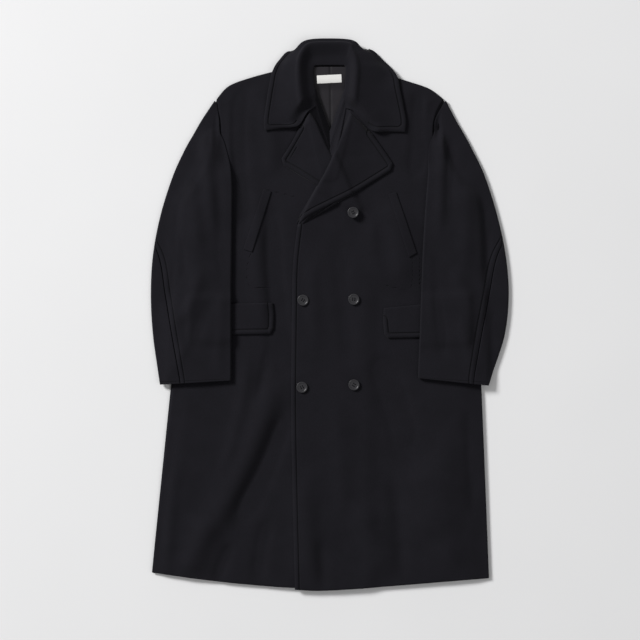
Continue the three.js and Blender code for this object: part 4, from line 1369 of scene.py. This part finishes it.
class Coat:
    """The whole coat: its pile of cloth, then each piece on it."""

    def __init__(self) -> None:
        """Cuts every layer and piles them up."""
        self.layers = [
            Layer("collar_fall", polygon_outline(COLLAR_FALL), WALL["collar"], step=26.0),
            Layer("back", back_outline(), WALL["back"]),
            Layer("lining", polygon_outline(LINING), WALL["lining"], step=8.0),
            Layer("label", label_outline(), WALL["label"], step=4.0),
            Layer("front_right", front_outline(Side.RIGHT), WALL["front"], True, step=36.0),
            Layer("lapel_right", lapel_outline(Side.RIGHT), WALL["lapel"], True),
            Layer("front_left", front_outline(Side.LEFT), WALL["front"], True),
            Layer("lapel_left", lapel_outline(Side.LEFT), WALL["lapel"], True),
            *(Layer(name, polygon_outline(rows), WALL["welt" if "welt" in name else "flap"], True)
              for name, rows in POCKETS.items()),
        ]
        self.pile = Pile(self.layers)
        self.finishes = {"melton": Melton().material(), "lining": Satin().material(),
                         "label_tape": Tape().material(), "button": Horn().material()}
        self.thread = Thread().material()

    def layer(self, name: str) -> Layer:
        """The layer of that name."""
        return next(layer for layer in self.layers if layer.name == name)

    def top_of(self, name: str, sink: float = 0.0) -> Heights:
        """The height of a layer's top at places, less a little."""
        layer = self.layer(name)

        def height(x: Array, y: Array) -> Array:
            """The height at some places."""
            return self.pile.at(self.pile.undersides[name], x, y) + layer.wall - sink

        return height

    def panel(self, name: str, slot: str, rests_on: list[str], **extra: object) -> bpy.types.Object:
        """Makes one flat-cut piece and dresses it."""
        layer = self.layer(name)
        cloth = Panel(name, layer.outline, layer.wall, **extra).build(self.pile)
        Piece.finish(cloth, self.finishes[slot], slot, name)
        layer.outline.cut_size()
        layer.outline.area() * MM * MM
        return cloth

    def fronts(self) -> None:
        """Makes the back, the fronts, the lapels and the lining patch with its label."""
        self.panel("back", "melton", ["coat_floor"], step=9.0)
        centre = [np.array([[0.5, 530.0], [2.0, 440.0], [4.0, 280.0]])]
        # The lining's centre line gets a groove and painted shade along it.
        self.panel("lining", "lining", ["back"], step=2.5, stitched=centre, uneven=0.25)
        self.panel("label", "label_tape", ["lining"], step=1.5, uneven=0.05)
        for side in Side:
            key = side.value
            bags = [smooth_edge(rows) for rows in POCKET_BAGS[key]]
            self.panel(f"front_{key}", "melton", ["back"], stitched=[smooth_edge(FRONT_EDGE[key])],
                       marks=bags,
                       plump=0.5)
            self.panel(f"lapel_{key}", "melton", [f"front_{key}"], step=3.0, roll=smooth_edge(ROLL[key]),
                       plump=0.5,
                       marks=[line_of(BUTTONHOLE)] if side is Side.RIGHT else [],
                       tapers=LAPEL_END,
                       stitched=[smooth_edge(LAPEL_EDGE[key]), smooth_edge(LAPEL_FOOT[key])])

    def pockets(self) -> None:
        """Makes the chest welts and the flaps."""
        for name in POCKETS:
            key = name.split("_")[-1]
            line = line_of(POCKETS[name])
            stitched = [line[1:]] if "flap" in name else []
            self.panel(name, "melton", [f"front_{key}"], step=2.5, stitched=stitched, plump=0.5)

    def sleeves(self) -> None:
        """Makes both sleeves."""
        for side in Side:
            sleeve = Sleeve(side)
            top, under = sleeve.build(self.pile)
            for cloth, (width, length, area) in zip((top, under), sleeve.cuts()):
                Piece.finish(cloth, self.finishes["melton"], "melton", cloth.name.removesuffix("_cloth"))

    def collar(self) -> None:
        """Makes the collar."""
        collar = Collar()
        cloth = collar.build(self.pile)
        Piece.finish(cloth, self.finishes["melton"], "melton", "collar")

    def topstitching(self) -> None:
        """Lays the rows of stitches along both lapels and the left front's edge."""
        trim = STITCH_TRIM
        rows = {"front_left": [offset_line(smooth_edge(FRONT_EDGE["left"]), STITCH_INSET, trim["front"])]}
        for side, inset in (("left", -STITCH_INSET), ("right", STITCH_INSET)):
            rows[f"lapel_{side}"] = [offset_line(smooth_edge(LAPEL_EDGE[side]), inset, trim["lapel_edge"]),
                                     offset_line(smooth_edge(LAPEL_FOOT[side]), inset, trim["lapel_foot"])]
        for name, lines in rows.items():
            stitches = Stitches(f"{name}_topstitching", lines).build(self.top_of(name, 0.15))
            Piece.finish(stitches, self.thread, "melton")

    def buttons(self) -> None:
        """Makes the buttons and the thread that holds them."""
        kind = Button()
        disc, bars = kind.disc(), kind.bars()
        for number, row in enumerate(BUTTONS, 1):
            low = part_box(f"button_{number}")[0][2]
            turn = 0.5 * number
            for shape, name, finish, slot, nodes in (
                (disc, f"horn_button_{number}", self.finishes["button"], "button", (f"button_{number}",)),
                (bars, f"button_thread_{number}", self.thread, "melton", ()),
            ):
                made = bpy.data.objects.new(name, shape.data.copy())
                bpy.context.collection.objects.link(made)
                cos, sin = math.cos(turn), math.sin(turn)
                for vertex in made.data.vertices:
                    x, y, z = vertex.co
                    vertex.co = (x * cos - y * sin + row["x"] * MM, x * sin + y * cos + row["y"] * MM,
                                 z + low)
                Piece.finish(made, finish, slot, *nodes)
        for shape in (disc, bars):
            bpy.data.objects.remove(shape)

    def build(self) -> None:
        """Makes every piece in order."""
        self.fronts()
        self.pockets()
        self.sleeves()
        self.collar()
        self.topstitching()
        self.buttons()


@dataclass(frozen=True)
class Studio:
    """The pale floor, the soft light and the camera straight above the coat."""

    look_at: tuple[float, float] = (-0.0205, -0.0105)
    height: float = 4.0
    view_width: float = 1.344
    sensor: float = 36.0
    floor_size: float = 14.0
    floor_drop: float = 0.0004
    sky: float = 0.32

    def floor(self) -> None:
        """Makes the pale floor."""
        bpy.ops.object.select_all(action="DESELECT")
        bpy.ops.mesh.primitive_plane_add(size=self.floor_size, location=(0, 0, -self.floor_drop))
        floor = bpy.context.object
        floor.name = "coat_floor"
        bpy.ops.object.transform_apply(location=True, rotation=True, scale=True)
        floor.data.materials.append(Backdrop().material())

    def light(self, name: str, place: tuple[float, float, float], size: float, power: float) -> None:
        """Adds a soft square light aimed at the middle of the coat."""
        data = bpy.data.lights.new(name, "AREA")
        data.size = size
        data.energy = power
        lamp = bpy.data.objects.new(name, data)
        bpy.context.collection.objects.link(lamp)
        lamp.location = place
        lamp.rotation_euler = (-lamp.location).to_track_quat("-Z", "Y").to_euler()

    def camera(self) -> None:
        """Sets the camera straight above, as the photograph was taken."""
        data = bpy.data.cameras.new("camera")
        data.sensor_width = self.sensor
        data.lens = self.sensor * self.height / self.view_width
        camera = bpy.data.objects.new("camera", data)
        bpy.context.collection.objects.link(camera)
        camera.location = (*self.look_at, self.height)
        bpy.context.scene.camera = camera

    def build(self) -> None:
        """Sets up the floor, the lights, the sky and the camera."""
        self.floor()
        self.light("key", place=(-7.6, 5.6, 5.6), size=2.8, power=1500.0)
        self.light("fill", place=(5.2, -3.4, 6.4), size=5.0, power=90.0)
        world = bpy.data.worlds.new("sky")
        bpy.context.scene.world = world
        world.use_nodes = True
        world.node_tree.nodes["Background"].inputs["Color"].default_value = (1, 1, 1, 1)
        world.node_tree.nodes["Background"].inputs["Strength"].default_value = self.sky
        bpy.context.scene.view_settings.view_transform = "Standard"
        self.camera()


def main() -> None:
    """Builds the studio and the coat."""
    logging.basicConfig(level=logging.INFO, format="%(name)s %(message)s")
    Studio().build()
    Coat().build()


if __name__ == "__main__":
    main()
